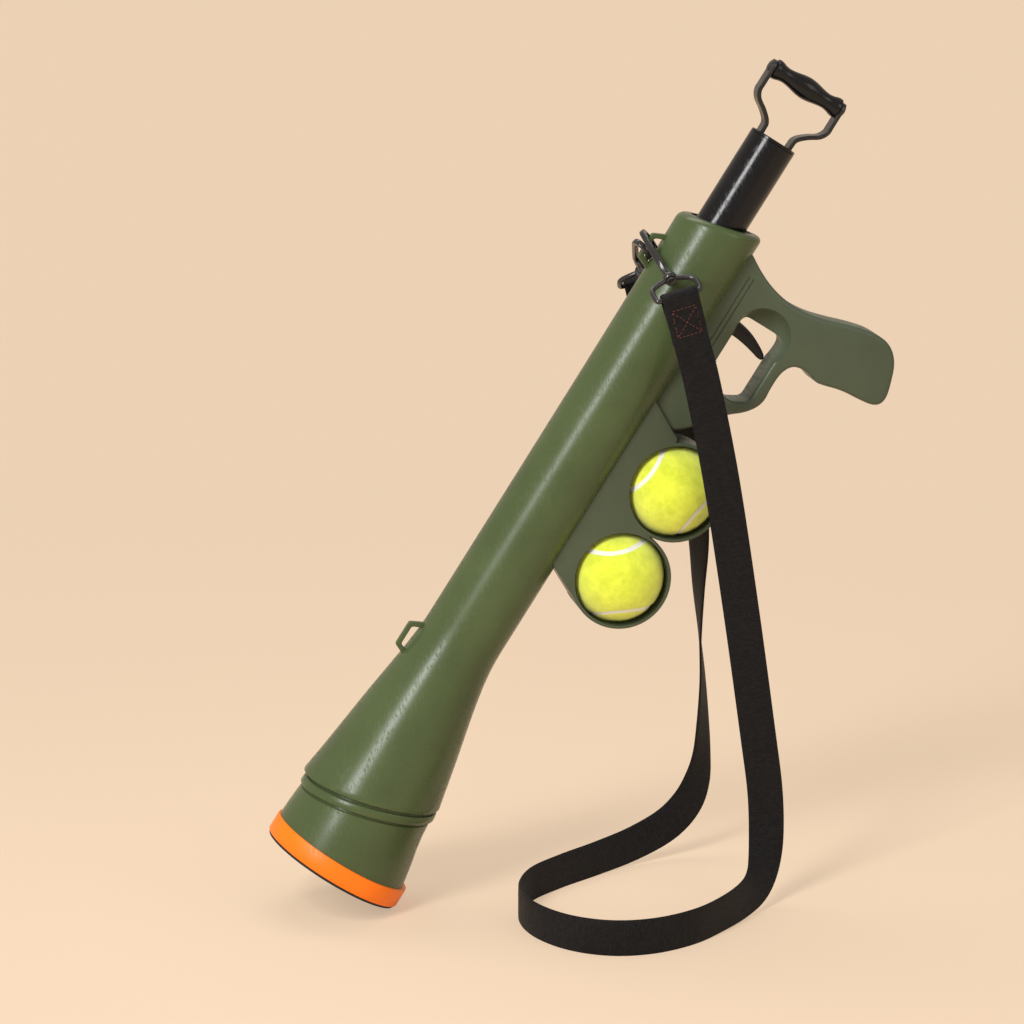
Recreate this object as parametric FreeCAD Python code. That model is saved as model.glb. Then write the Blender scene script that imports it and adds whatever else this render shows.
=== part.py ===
import FreeCAD, Part
import math
import os

# A hand-cocked spring launcher for dog balls, leaning on the rim of its muzzle with its strap on the floor.
# Pieces are drawn level: x from the muzzle rim to the rear, y across, z up to the strap loops, grip below.
# stand_up() then leans them as they stand, and sets the muzzle rim on the floor at z = 0.

Vec = FreeCAD.Vector

# Stance
lean_from_vertical = 32.5
origin_ahead_of_muzzle = 181.0

# Ball and fits
ball_radius = 32.5
ball_gap = 0.35
seat_gap = 0.2
running_gap = 0.05
side_gap = 0.3

# Barrel: tube, bell and closed rear end
barrel_radius = 28.3
barrel_wall = 2.5
bell_swell = [
    (40.0, 23.1, 5.8),
    (72.0, 17.3, 4.4),
    (110.0, 10.9, 2.5),
    (138.0, 5.8, 1.1),
    (152.0, 3.4, 0.6),
    (165.0, 1.5, 0.2),
    (176.0, 0.4, 0.0),
    (190.0, 0.0, 0.0),
    (200.0, 0.0, 0.0),
]
bell_sections = [(x, barrel_radius + swell, drop) for x, swell, drop in bell_swell]
seam_slope = 0.268
lip_station = 59.0
swell_start = 430.0
swell_radius = barrel_radius + 1.1
rear_station = 517.2
rear_slope = 0.242
rear_rounding = 5.0
end_wall = 8.0

# Funnel in front of the seam, its bead, ring and lip
funnel_wall = 2.4
funnel_sections = [
    (2.0, 50.6, 8.2),
    (28.0, 47.7, 6.5),
    (45.0, 45.2, 5.4),
    (60.0, 44.0, 4.9),
    (72.0, 42.8, 4.4),
    (84.0, 40.7, 3.8),
]
bead_station = 50.0
bead_width = 6.4
bead_height = 2.1
groove_depth = 1.1
groove_width = 2.2
ring_front = -1.0
ring_rear = 12.5
ring_proud = 1.0
ring_radius = funnel_sections[0][1] + ring_proud
ring_drop = funnel_sections[0][2] + 0.2
ring_flange = 3.2
ring_bevel = 0.8
lip_proud = 1.8
lip_inset = 1.2
lip_width = 3.4

# Ball retainer
retainer_base = 4.0
retainer_fingers = 8
finger_wall = 1.6
finger_tip_radius = 31.2
finger_reach = 10.0
finger_slot = 3.2

# Plunger, pull tube and spring
tube_radius = 17.0
tube_wall = 2.0
tube_rear = 582.0
pull_travel = 110.0
pad_front = 148.0
pad_radius = 22.0
head_front = 160.3
head_flange = 8.0
head_gap = 0.6
head_radius = barrel_radius - barrel_wall - head_gap
hub_radius = 19.2
hub_length = 22.0
stop_width = 6.0
buffer_width = 4.0
buffer_radius = head_radius - 0.9
seat_front = 385.0
seat_flange = 8.0
sleeve_radius = 19.6
spring_wire = 2.4
spring_mean_radius = barrel_radius - barrel_wall - 3.5
spring_turns = 10
coil_runs = 10
bush_radius = 21.0
bush_collar = 2.0
bush_collar_radius = barrel_radius - barrel_wall - 1.8

# Handle
cap_length = 14.0
cap_rim = 2.0
cap_pin_radius = 1.75
cap_pin_inset = 6.0
yoke_thickness = 3.0
yoke_bridge = 2.0
yoke_width = 11.0
yoke_half_base = 13.0
yoke_half_span = 30.0
grip_station = tube_rear + 43.0
grip_half_length = 27.0
grip_end_radius = 7.0
grip_waist_radius = 5.4
grip_bulge_radius = 7.8
grip_pin_radius = 2.0

# Grip frame and ball cups
cup_wall = 2.2
cup_half_depth = 18.0
cup_drop = 69.5
front_cup_station = 274.7
cup_pitch = 70.4
frame_half_width = 14.0
frame_bevel = 2.2
scoop_radius = 22.7
scoop_station = 466.0
scoop_drop = 63.5
scoop_offset = 23.6

# Trigger and sear
trigger_station = 463.0
trigger_drop = 36.5
trigger_half_width = 4.0
trigger_pin_radius = 1.5
sear_station = 424.0
sear_drop = 37.5
sear_half_width = 3.0
nose_station = 442.0
nose_half_length = 2.6
pocket_gap = 0.5

# Frame screws
screw_places = [(259.5, 35.2), (309.9, 50.0), (372.0, 36.0), (411.0, 56.0), (487.0, 84.0), (484.0, 146.0)]
screw_radius = 1.6
screw_head_radius = 3.2
screw_head_depth = 2.2
screw_length = 20.0

# Strap loops on the barrel
loop_thickness = 4.0
loop_bar = 3.3
loop_height = 9.9
loop_top_half = 9.2
loop_foot_half = 14.3
loop_stations = [165.0, 478.0]

# Snap hooks and strap
hook_thickness = 4.0
hood_outer = 8.2
hood_inner = 4.6
hook_shank = 36.0
hook_neck_radius = 2.2
hook_spread = 3.8
hook_side = 1.0
hook_rise = 9.5
hook_line = (-17.5, -42.5, -22.3)
hook_turn = 170.0
gate_width = 2.6
gate_half = 1.0
gate_pivot = (-3.6, 31.4)
gate_pin_radius = 0.8
eye_bar = 1.9
eye_reach = 58.0
eye_line = (0.735, 0.078, -0.673)
strap_width = 25.0
strap_thickness = 1.8


def circle(x, radius, drop):
    """A hoop across the barrel's line, dropped toward the grip side."""
    ring = Part.Circle(Vec(x, 0, -drop), Vec(1, 0, 0), radius)
    return Part.Wire(ring.toShape())


def horn(sections, grow=0.0):
    """A solid through eccentric hoops, its surface moved out by grow."""
    return Part.makeLoft([circle(x, r + grow, d) for x, r, d in sections], True, True)


def rod(x, length, radius, drop=0.0):
    """A round bar along the barrel's line."""
    return Part.makeCylinder(radius, length, Vec(x, 0, -drop), Vec(1, 0, 0))


def tube(x, length, outer, inner, drop=0.0):
    """A round tube along the barrel's line."""
    return rod(x, length, outer, drop).cut(rod(x, length, inner, drop))


def cross_rod(x, z, radius, half_length):
    """A round bar across the launcher, centred on its middle plane."""
    return Part.makeCylinder(radius, 2 * half_length, Vec(x, -half_length, z), Vec(0, 1, 0))


def box(x0, x1, y0, y1, z0, z1):
    """A block between two corners."""
    return Part.makeBox(x1 - x0, y1 - y0, z1 - z0, Vec(x0, y0, z0))


def plate(points, half_width):
    """A straight-sided outline in the middle plane, as thick as twice half_width."""
    corners = [Vec(x, -half_width, z) for x, z in points]
    face = Part.Face(Part.makePolygon(corners + [corners[0]]))
    return face.extrude(Vec(0, 2 * half_width, 0))


def flowing_wire(points, y):
    """A closed outline that is tangent to each side of the points' polygon, an arc round every corner."""
    corners = [Vec(x, y, z) for x, z in points]
    count = len(corners)
    bends = []
    for k in range(count):
        corner = corners[k]
        back = corners[k - 1] - corner
        ahead = corners[(k + 1) % count] - corner
        reach = min(back.Length, ahead.Length) / 2
        back.normalize()
        ahead.normalize()
        halfway = (back + ahead).normalize()
        half_angle = back.getAngle(ahead) / 2
        radius = reach * math.tan(half_angle)
        middle = corner + halfway * (radius / math.sin(half_angle) - radius)
        bends.append((corner + back * reach, middle, corner + ahead * reach))
    edges = []
    for k in range(count):
        start, middle, end = bends[k]
        following = bends[(k + 1) % count][0]
        edges.append(Part.Arc(start, middle, end).toShape())
        if (following - end).Length > 0.001:
            edges.append(Part.makeLine(end, following))
    return Part.Wire(edges)


def curved_plate(points, half_width):
    """A closed flowing outline in the middle plane, as thick as twice half_width."""
    return Part.Face(flowing_wire(points, -half_width)).extrude(Vec(0, 2 * half_width, 0))


def slanted_slab(front, rear, slope):
    """All that lies between two planes that slant back toward the grip side."""
    reach = 90.0
    lean = slope * reach
    points = [(front - lean, reach), (rear - lean, reach), (rear + lean, -reach), (front + lean, -reach)]
    return plate(points, reach)


def cross_edges(shape, keep):
    """The straight edges that run across the launcher and that keep() picks by their place."""
    found = []
    for edge in shape.Edges:
        ends = [v.Point for v in edge.Vertexes]
        if len(ends) == 2 and abs(ends[0].x - ends[1].x) + abs(ends[0].z - ends[1].z) < 0.001:
            if keep(ends[0].x, ends[0].z):
                found.append(edge)
    return found


def side_edges(shape, half_width):
    """The edges round both flat sides of a plate."""
    return [e for e in shape.Edges if e.BoundBox.YLength < 0.01 and abs(abs(e.BoundBox.YMin) - half_width) < 0.01]


def coil(centre, axis, radius, wire, length, turns):
    """A spring from centre along axis, of flat-sided wire in short straight runs, its turns evenly spaced."""
    loops = []
    for k in range(turns * coil_runs + 1):
        angle = 2 * math.pi * k / coil_runs
        out = Vec(math.cos(angle), math.sin(angle), 0)
        middle = out * radius + Vec(0, 0, length * k / (turns * coil_runs))
        corners = [(1, 0), (0, 1), (-1, 0), (0, -1)]
        loops.append([middle + out * (a * wire / 2) + Vec(0, 0, b * wire / 2) for a, b in corners])
    faces = [Part.Face(Part.makePolygon(loops[0][::-1] + [loops[0][-1]])),
             Part.Face(Part.makePolygon(loops[-1] + [loops[-1][0]]))]
    for first, second in zip(loops, loops[1:]):
        for j in range(4):
            i = (j + 1) % 4
            faces.append(Part.Face(Part.makePolygon([first[j], first[i], second[i], first[j]])))
            faces.append(Part.Face(Part.makePolygon([first[j], second[i], second[j], first[j]])))
    spring = Part.makeSolid(Part.makeShell(faces))
    spring.Placement = FreeCAD.Placement(centre, FreeCAD.Rotation(Vec(0, 0, 1), axis))
    return spring


def barrel_outside():
    """The barrel's outer form, solid, from the bell's lip to the slanted rear."""
    bell = horn(bell_sections)
    straight = rod(200.0, swell_start - 200.0, barrel_radius)
    rear_limit = rear_station + 12.0
    swell = Part.makeCone(barrel_radius, swell_radius, rear_limit - swell_start, Vec(swell_start, 0, 0), Vec(1, 0, 0))
    body = bell.fuse([straight, swell]).removeSplitter()
    body = body.common(slanted_slab(lip_station, rear_limit + 60, seam_slope))
    body = body.common(slanted_slab(0.0, rear_station, rear_slope))
    rim = [e for e in body.Edges if e.BoundBox.XMin > rear_station - 15 and e.BoundBox.ZLength > 40]
    return body.makeFillet(rear_rounding, rim)


def strap_loop(station):
    """One open eye on top of the barrel, that a snap hook clips into."""
    foot = barrel_radius - barrel_wall + 0.9
    top = barrel_radius + loop_height
    outer = [
        (station - loop_foot_half, foot),
        (station - loop_top_half, top),
        (station + loop_top_half, top),
        (station + loop_foot_half, foot),
    ]
    inner_top = loop_top_half - 2.2
    inner_foot = loop_foot_half - loop_bar - 1.0
    inner = [
        (station - inner_foot, barrel_radius),
        (station - inner_top, top - loop_bar),
        (station + inner_top, top - loop_bar),
        (station + inner_foot, barrel_radius),
    ]
    eye = plate(outer, loop_thickness / 2)
    eye = eye.makeChamfer(1.2, cross_edges(eye, lambda x, z: z > foot + 1))
    return eye.cut(plate(inner, loop_thickness))


def barrel():
    """Tube and bell in one moulding, with both strap loops and the slot for the sear."""
    outside = barrel_outside()
    loops = [strap_loop(s) for s in loop_stations]
    bell_bore = [(x, r - barrel_wall, d) for x, r, d in bell_sections]
    bore_end = rear_station - swell_radius * rear_slope - end_wall
    bore = rod(190.0, bore_end - 190.0, barrel_radius - barrel_wall)
    shell = outside.cut(horn(bell_bore).fuse(bore))
    shell = shell.fuse([eye.cut(horn(bell_bore)) for eye in loops]).removeSplitter()
    shell = shell.cut(rod(bore_end - 1, 60.0, bush_radius + seat_gap))
    slot = box(nose_station - 4.6, nose_station + 7.6, -sear_half_width - 0.6, sear_half_width + 0.6, -40.0, -20.0)
    return shell.cut(slot)


def rear_bush():
    """Ring that guides the pull tube through the barrel's end wall."""
    front = rear_station - swell_radius * rear_slope - end_wall + seat_gap
    ring = tube(front, 40.0, bush_radius, tube_radius + running_gap)
    ring = ring.common(slanted_slab(0.0, rear_station - 0.8, rear_slope))
    collar = tube(front - seat_gap - bush_collar, bush_collar, bush_collar_radius, tube_radius + running_gap)
    neck = tube(front - seat_gap, seat_gap, bush_radius, tube_radius + running_gap)
    return ring.fuse([collar, neck]).removeSplitter()


def funnel():
    """The muzzle's front shell, whose rear end slips inside the bell."""
    body = horn(funnel_sections).cut(horn(funnel_sections, -funnel_wall))
    groove = horn(funnel_sections, 2.0).cut(horn(funnel_sections, -groove_depth))
    band = slanted_slab(bead_station - groove_width, bead_station, seam_slope)
    return body.cut(groove.common(band))


def seam_bead():
    """Raised band round the funnel, just in front of the bell's lip."""
    skin = horn(funnel_sections, bead_height).cut(horn(funnel_sections))
    band = skin.common(slanted_slab(bead_station, bead_station + bead_width, seam_slope))
    return band


def muzzle_ring():
    """Bright safety ring pushed over the funnel's front edge."""
    slim = ring_radius - ring_bevel
    hoops = [(ring_front, slim), (ring_front + ring_bevel, ring_radius), (ring_rear - ring_bevel, ring_radius),
             (ring_rear, slim)]
    band = Part.makeLoft([circle(x, r, ring_drop) for x, r in hoops], True, True)
    mouth = funnel_sections[0][1] - ring_flange
    band = band.cut(rod(ring_front - 1, 30.0, mouth, ring_drop))
    return band.cut(horn(funnel_sections, running_gap))


def muzzle_lip():
    """Soft dark lip in front of the ring, which the launcher stands on."""
    outer = ring_radius - lip_inset
    lip = tube(ring_front - lip_proud, lip_proud, outer, outer - lip_width, ring_drop)
    edges = [e for e in lip.Edges if e.BoundBox.XMax < ring_front - lip_proud + 0.01 and e.Length > 10]
    return lip.makeChamfer(0.6, edges)


def ball_retainer():
    """Soft ring of fingers that lets a ball in and keeps it from rolling out."""
    front = funnel_sections[-1][0] + seat_gap
    drop = funnel_sections[-1][2] - 0.1
    outer = funnel_sections[-1][1] - 0.7
    base = tube(front, retainer_base, outer, outer - 2.6, drop)
    start = outer - 2.6
    tip = front + finger_reach
    cone_out = Part.makeCone(start + finger_wall, finger_tip_radius + finger_wall, finger_reach,
                             Vec(front, 0, -drop), Vec(1, 0, 0))
    cone_in = Part.makeCone(start, finger_tip_radius, finger_reach, Vec(front, 0, -drop), Vec(1, 0, 0))
    fingers = cone_out.cut(cone_in)
    for k in range(retainer_fingers):
        cut = box(front + 2.2, tip + 1, -finger_slot / 2, finger_slot / 2, 0.0, outer + 5)
        cut.rotate(Vec(0, 0, 0), Vec(1, 0, 0), 360.0 * k / retainer_fingers)
        cut.translate(Vec(0, 0, -drop))
        fingers = fingers.cut(cut)
    return base.fuse(fingers).removeSplitter()


def stop_ring():
    """Ring in the bell's throat that ends the plunger's forward stroke."""
    front = head_front - side_gap - buffer_width - stop_width
    bore = [(x, r - barrel_wall, d) for x, r, d in bell_sections]
    body = horn(bore).common(rod(front, stop_width, 60.0))
    return body.cut(rod(front - 1, stop_width + 2, buffer_radius))


def buffer_washer():
    """Soft washer on the stop ring, which the plunger head lands on."""
    front = head_front - side_gap - buffer_width
    return tube(front, buffer_width, head_radius + 1.6, buffer_radius)


def plunger_head():
    """Piston with a long hub that the pull tube is fixed in."""
    flange = rod(head_front, head_flange, head_radius)
    hub = rod(head_front, head_flange + hub_length, hub_radius)
    body = flange.fuse(hub).removeSplitter()
    bore = rod(head_front + head_flange, hub_length + 1, tube_radius + running_gap)
    return body.cut(bore)


def plunger_pad():
    """Soft dished pad that pushes the ball."""
    pad = rod(pad_front, head_front - pad_front, pad_radius)
    front_edges = [e for e in pad.Edges if e.BoundBox.XMax < pad_front + 0.01 and e.Length > 10]
    pad = pad.makeChamfer(1.2, front_edges)
    dish = Part.makeSphere(ball_radius + 4, Vec(pad_front - ball_radius - 0.5, 0, 0))
    return pad.cut(dish)


def pull_tube():
    """The long tube that is drawn back by hand, with the window that the sear catches."""
    front = head_front + head_flange
    body = tube(front, tube_rear - front, tube_radius, tube_radius - tube_wall)
    window = nose_station - pull_travel
    half = sear_half_width + 0.8
    body = body.cut(box(window - nose_half_length - 1.2, window + nose_half_length + 1.2, -half, half, -20.0, -12.0))
    return body.cut(cross_rod(tube_rear - cap_pin_inset, 0.0, cap_pin_radius + running_gap, 20.0))


def spring_seat():
    """Fixed ring that the main spring pushes against, with a sleeve round the tube."""
    bore = barrel_radius - barrel_wall
    flange = rod(seat_front, seat_flange, bore - seat_gap / 4)
    start = head_front + head_flange + hub_length + pull_travel + 0.5
    sleeve = rod(start, seat_front - start + 1, sleeve_radius)
    body = flange.fuse(sleeve).removeSplitter()
    return body.cut(rod(start - 1, 200.0, tube_radius + running_gap))


def main_spring():
    """Compression spring between the plunger head and its seat."""
    front = head_front + head_flange + spring_wire / 2 + 0.3
    length = seat_front - front - spring_wire / 2 - 0.3
    return coil(Vec(front, 0, 0), Vec(1, 0, 0), spring_mean_radius, spring_wire, length, spring_turns)


def tube_cap():
    """Plug that closes the tube's rear end and holds the handle's legs."""
    plug_radius = tube_radius - tube_wall - running_gap
    front = tube_rear - cap_length + yoke_bridge + running_gap
    plug = rod(front, tube_rear - front, plug_radius)
    rim = rod(tube_rear, cap_rim, tube_radius)
    rim_edges = [e for e in rim.Edges if e.BoundBox.XMin > tube_rear + cap_rim - 0.01 and e.Length > 10]
    body = plug.fuse(rim.makeChamfer(0.6, rim_edges)).removeSplitter()
    for side in (1, -1):
        z = side * (yoke_half_base - yoke_thickness / 2)
        half = yoke_thickness / 2 + running_gap
        body = body.cut(box(front - 1, tube_rear + cap_rim + 1, -yoke_width / 2 - running_gap,
                            yoke_width / 2 + running_gap, z - half, z + half))
    return body.cut(cross_rod(tube_rear - cap_pin_inset, 0.0, cap_pin_radius + running_gap, tube_radius))


def yoke_side(side):
    """One bent leg of the flat steel handle frame, from the cap to the grip's end."""
    base, span, t = yoke_half_base, yoke_half_span, yoke_thickness
    near, far = tube_rear + 6.0, grip_station - 15.0
    inside = [(tube_rear - cap_length, base - t), (near + 2, base - t), (near + 10, base + 6.0),
              (far - 6, span - t - 1.4), (far, span - t), (grip_station - 4, span - t)]
    outside = [(grip_station - 4, span), (far - 1, span), (far - 8, span - 1.8), (near + 7, base + 8.4),
               (near, base), (tube_rear - cap_length, base)]
    leg = plate([(x, side * z) for x, z in inside + outside], yoke_width / 2)
    bends = cross_edges(leg, lambda x, z: near - 2 < x < far + 2)
    leg = leg.makeFillet(2.5, bends)
    eye = Part.makeCylinder(yoke_width / 2, t, Vec(grip_station, 0, side * (span - t)), Vec(0, 0, side))
    tab = box(grip_station - 4.5, grip_station, -yoke_width / 2, yoke_width / 2,
              min(side * span, side * (span - t)), max(side * span, side * (span - t)))
    hole = Part.makeCylinder(grip_pin_radius + running_gap, 10.0, Vec(grip_station, 0, side * (span - 6)), Vec(0, 0, side))
    return leg.fuse([eye, tab]).removeSplitter().cut(hole)


def yoke():
    """Both legs of the handle frame, joined by the strip inside the cap."""
    base = yoke_half_base
    x = tube_rear - cap_length
    bridge = box(x, x + yoke_bridge, -yoke_width / 2, yoke_width / 2, -base, base)
    return bridge.fuse([yoke_side(1), yoke_side(-1)]).removeSplitter()


def handle_grip():
    """Turned grip that spins on its pin between the yoke's ends."""
    h = grip_half_length - side_gap
    x = grip_station
    side = [(grip_end_radius, h), (grip_end_radius, h - 3.5)]
    swell = h - 9.5
    for k in range(-5, 6):
        share = math.cos(math.pi * k / 10) ** 2
        side.append((grip_waist_radius + (grip_bulge_radius - grip_waist_radius) * share, -swell * k / 5))
    side += [(grip_end_radius, 3.5 - h), (grip_end_radius, -h)]
    outline = [Vec(x, 0, h)] + [Vec(x + r, 0, z) for r, z in side] + [Vec(x, 0, -h), Vec(x, 0, h)]
    body = Part.Face(Part.makePolygon(outline)).revolve(Vec(x, 0, 0), Vec(0, 0, 1), 360)
    return body.cut(Part.makeCylinder(grip_pin_radius + running_gap, 4 * h, Vec(x, 0, -2 * h), Vec(0, 0, 1)))


def grip_pin():
    """Pin through the yoke's ends and the grip, with a domed head at each end."""
    span = yoke_half_span
    pin = Part.makeCylinder(grip_pin_radius, 2 * span, Vec(grip_station, 0, -span), Vec(0, 0, 1))
    heads = []
    for side in (1, -1):
        head = Part.makeCylinder(grip_pin_radius + 2.2, 1.4, Vec(grip_station, 0, side * span), Vec(0, 0, side))
        far = [e for e in head.Edges if abs(e.BoundBox.ZMax) + abs(e.BoundBox.ZMin) > 2 * span + 2.7]
        heads.append(head.makeChamfer(0.7, far))
    return pin.fuse(heads).removeSplitter()


def cap_pin():
    """Cross pin that holds the cap, and the yoke in front of it, in the tube."""
    return cross_rod(tube_rear - cap_pin_inset, 0.0, cap_pin_radius, tube_radius - 0.3)


def frame_outline():
    """Grip, guard and web seen from the side."""
    return [
        (513.5, -23.0), (504.8, -37.0), (498.5, -52.0), (495.6, -68.0), (496.6, -85.0), (501.0, -101.0),
        (506.0, -116.0), (509.6, -131.0), (508.6, -145.0), (500.0, -155.0), (486.0, -160.6), (474.0, -164.0),
        (466.6, -160.0), (464.8, -147.0), (464.0, -133.0), (460.0, -119.0), (459.2, -113.5), (462.6, -104.0),
        (461.0, -94.0), (453.0, -89.2), (440.0, -88.8), (428.0, -90.2), (417.0, -83.6), (408.0, -71.5),
        (396.0, -61.0), (382.0, -50.0), (376.0, -36.0), (384.0, -22.0), (410.0, -12.0), (450.0, -9.0),
        (488.0, -8.0), (509.0, -12.0),
    ]


def guard_opening():
    """The finger hole in front of and behind the trigger blade."""
    hole = plate([(420.0, -45.0), (473.0, -45.0), (473.0, -80.0), (424.0, -80.0), (418.5, -70.0), (418.5, -53.0)], 30.0)
    rounds = cross_edges(hole, lambda x, z: True)
    return hole.makeFillet(5.0, rounds)


def mechanism_pocket():
    """The hollow between the frame halves that the trigger and the sear move in."""
    half = trigger_half_width + pocket_gap
    top = -barrel_radius - 0.4
    front = plate([(417.0, top), (478.5, top), (478.5, -47.0), (452.0, -47.0), (452.0, -43.4), (417.0, -43.4)], half)
    blade = plate([(452.0, -43.0), (474.0, -43.0), (474.0, -50.0), (452.0, -50.0)], half)
    return front.fuse(blade)


def ball_cups():
    """The two round cups under the barrel, side by side in one web."""
    stations = [front_cup_station + k * cup_pitch for k in range(2)]
    outer = ball_radius + ball_gap + cup_wall
    rims = [cross_rod(s, -cup_drop, outer, cup_half_depth) for s in stations]
    front, rear = stations
    web = plate([(front - 14.0, -20.0), (rear + 48.0, -20.0), (rear + 32.0, -50.0), (rear, -cup_drop),
                 (front, -cup_drop), (front - 30.0, -52.0)], cup_half_depth)
    body = rims[0].fuse([rims[1], web]).removeSplitter()
    for s in stations:
        body = body.cut(cross_rod(s, -cup_drop, ball_radius + ball_gap, 40.0))
    return body


def rib_lines():
    """Two shallow lines that run along the frame just below the barrel."""
    cuts = []
    for z in (-barrel_radius - 4.7, -barrel_radius - 8.2):
        for side in (1, -1):
            middle = side * frame_half_width
            cuts.append(box(trigger_station - 23, trigger_station + 34, middle - 0.6, middle + 0.6, z - 0.5, z + 0.5))
    return cuts


def frame_body():
    """The whole frame before it is split, closed outside and hollow round the mechanism."""
    grip = curved_plate(frame_outline(), frame_half_width)
    grip = grip.makeChamfer(frame_bevel, side_edges(grip, frame_half_width))
    body = grip.fuse(ball_cups()).removeSplitter()
    for side in (1, -1):
        body = body.cut(Part.makeSphere(scoop_radius, Vec(scoop_station, side * scoop_offset, -scoop_drop)))
    body = body.cut(guard_opening())
    for line in rib_lines():
        body = body.cut(line)
    body = body.cut(barrel_outside())
    body = body.cut(mechanism_pocket())
    body = body.cut(box(417.0, 478.5, -trigger_half_width - pocket_gap, trigger_half_width + pocket_gap, -32.0, -20.0))
    for x, z in ((trigger_station, -trigger_drop), (sear_station, -sear_drop)):
        body = body.cut(cross_rod(x, z, trigger_pin_radius + running_gap, frame_half_width - 3.0))
    body = body.cut(Part.makeCylinder(2.6, 12.0, Vec(468.0, 0, -44.5), Vec(1, 0, 0)))
    body = body.cut(Part.makeCylinder(2.6, 8.0, Vec(434.0, 0, -50.0), Vec(0, 0, 1)))
    for x, z in screw_places:
        y_head = (cup_half_depth if x < 400 else frame_half_width) - screw_head_depth
        body = body.cut(Part.makeCylinder(screw_head_radius + 0.3, 30.0, Vec(x, y_head, -z), Vec(0, 1, 0)))
        body = body.cut(Part.makeCylinder(screw_radius + running_gap, screw_length, Vec(x, y_head - screw_length, -z),
                                          Vec(0, 1, 0)))
    return body


def frame_half(body, side):
    """One moulded half of the frame: side 1 is the far one, -1 the near one."""
    y0, y1 = (0.0, 60.0) if side > 0 else (-60.0, 0.0)
    half = body.common(box(0.0, tube_rear, y0, y1, -200.0, 0.0))
    return max(half.Solids, key=lambda s: s.Volume)


def frame_screws():
    """The pan-head screws that close the frame, driven from the far side."""
    screws = []
    for x, z in screw_places:
        y_head = (cup_half_depth if x < 400 else frame_half_width) - screw_head_depth
        shank = Part.makeCylinder(screw_radius, screw_length - 0.5, Vec(x, y_head - screw_length + 0.5, -z), Vec(0, 1, 0))
        head = Part.makeCylinder(screw_head_radius, 1.8, Vec(x, y_head, -z), Vec(0, 1, 0))
        rim = [e for e in head.Edges if e.BoundBox.YMin > y_head + 1.7 and e.Length > 10]
        head = head.makeChamfer(0.6, rim)
        slot = box(x - 4, x + 4, y_head + 1.0, y_head + 3, -z - 0.5, -z + 0.5)
        screws.append(shank.fuse(head).removeSplitter().cut(slot))
    return Part.makeCompound(screws)


def trigger():
    """Curved blade with a boss on its pin and an arm that presses on the sear."""
    x, z = trigger_station, -trigger_drop
    blade = [(x - 6.5, z - 3), (x - 6.3, z - 12), (x - 7.2, z - 21), (x - 9.4, z - 31), (x - 11.2, z - 37.2),
             (x - 9.6, z - 39.4), (x - 6.6, z - 38.6), (x - 2.6, z - 32), (x + 1.6, z - 23), (x + 3.8, z - 14),
             (x + 4.6, z - 6), (x + 3.0, z + 1), (x - 3.0, z + 1)]
    body = curved_plate(blade, trigger_half_width)
    body = body.makeChamfer(0.9, side_edges(body, trigger_half_width))
    boss = cross_rod(x, z, 4.6, trigger_half_width)
    arm = plate([(x - 1.0, z + 4.6), (x - 15.6, z + 5.4), (x - 15.6, z + 2.8), (x - 3.0, z - 3.0)], sear_half_width)
    whole = body.fuse(boss).fuse(arm)
    return whole.cut(cross_rod(x, z, trigger_pin_radius + running_gap, 20.0))


def sear():
    """Lever whose nose reaches through the barrel's wall to the pull tube."""
    x, z = sear_station, -sear_drop
    top = -tube_radius - 0.35
    tail = trigger_station - 12.6
    n = nose_half_length
    arm = plate([(x, z - 2.6), (tail, z - 1.2), (tail, z + 1.6), (nose_station + n + 0.6, z + 3.6),
                 (nose_station + n, top), (nose_station - n + 1.2, top), (nose_station - n, top - 1.6),
                 (nose_station - n - 1.0, z + 3.6), (x, z + 2.8)], sear_half_width)
    boss = cross_rod(x, z, 4.0, sear_half_width)
    return arm.fuse(boss).removeSplitter().cut(cross_rod(x, z, trigger_pin_radius + running_gap, 20.0))


def trigger_spring():
    """Small coil that brings the trigger forward again."""
    return coil(Vec(trigger_station + 5.6, 0, -44.5), Vec(1, 0, 0), 1.9, 0.7, 10.6, 5)


def sear_spring():
    """Small coil that holds the sear's nose up to the tube."""
    low = -49.4
    return coil(Vec(434.0, 0, low), Vec(0, 0, 1), 1.9, 0.7, -sear_drop - 2.6 - 0.8 - low, 4)


def cross_pin(x, drop):
    """A plain pin across the frame, its ends held in both halves."""
    return cross_rod(x, -drop, trigger_pin_radius, frame_half_width - 3.2)


def spare_ball(station):
    """A felt ball held in its cup by the cup's wall."""
    return Part.makeSphere(ball_radius, Vec(station, 0, -cup_drop))


def hook_frame(side):
    """Where a snap hook hangs: its hood round the rear loop's bar, its shank over the barrel's shoulder."""
    hang = Vec(loop_stations[1] - side * hook_spread, side * hook_side, barrel_radius + hook_rise)
    down = Vec(hook_line[0], -side * hook_line[1], hook_line[2]).normalize()
    level = (Vec(1, 0, 0) - down * down.x).normalize()
    turn = hook_turn if side < 0 else 180.0 - hook_turn
    normal = FreeCAD.Rotation(down, turn).multVec(level)
    return frame_from(hang, normal.cross(down), normal, down)


def eye_frame(side):
    """The eye's own turn about the hook's neck, which lays its lower bar level with the strap."""
    hook = hook_frame(side)
    down = hook.Rotation.multVec(Vec(0, 0, 1))
    along = Vec(eye_line[0], -side * eye_line[1], eye_line[2])
    along = (along - down * along.dot(down)).normalize()
    return frame_from(hook.Base, along, down.cross(along), down)


def frame_from(origin, x_axis, y_axis, z_axis):
    """A placement from an origin and three axes."""
    return FreeCAD.Placement(FreeCAD.Matrix(
        x_axis.x, y_axis.x, z_axis.x, origin.x,
        x_axis.y, y_axis.y, z_axis.y, origin.y,
        x_axis.z, y_axis.z, z_axis.z, origin.z,
        0, 0, 0, 1))


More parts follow.
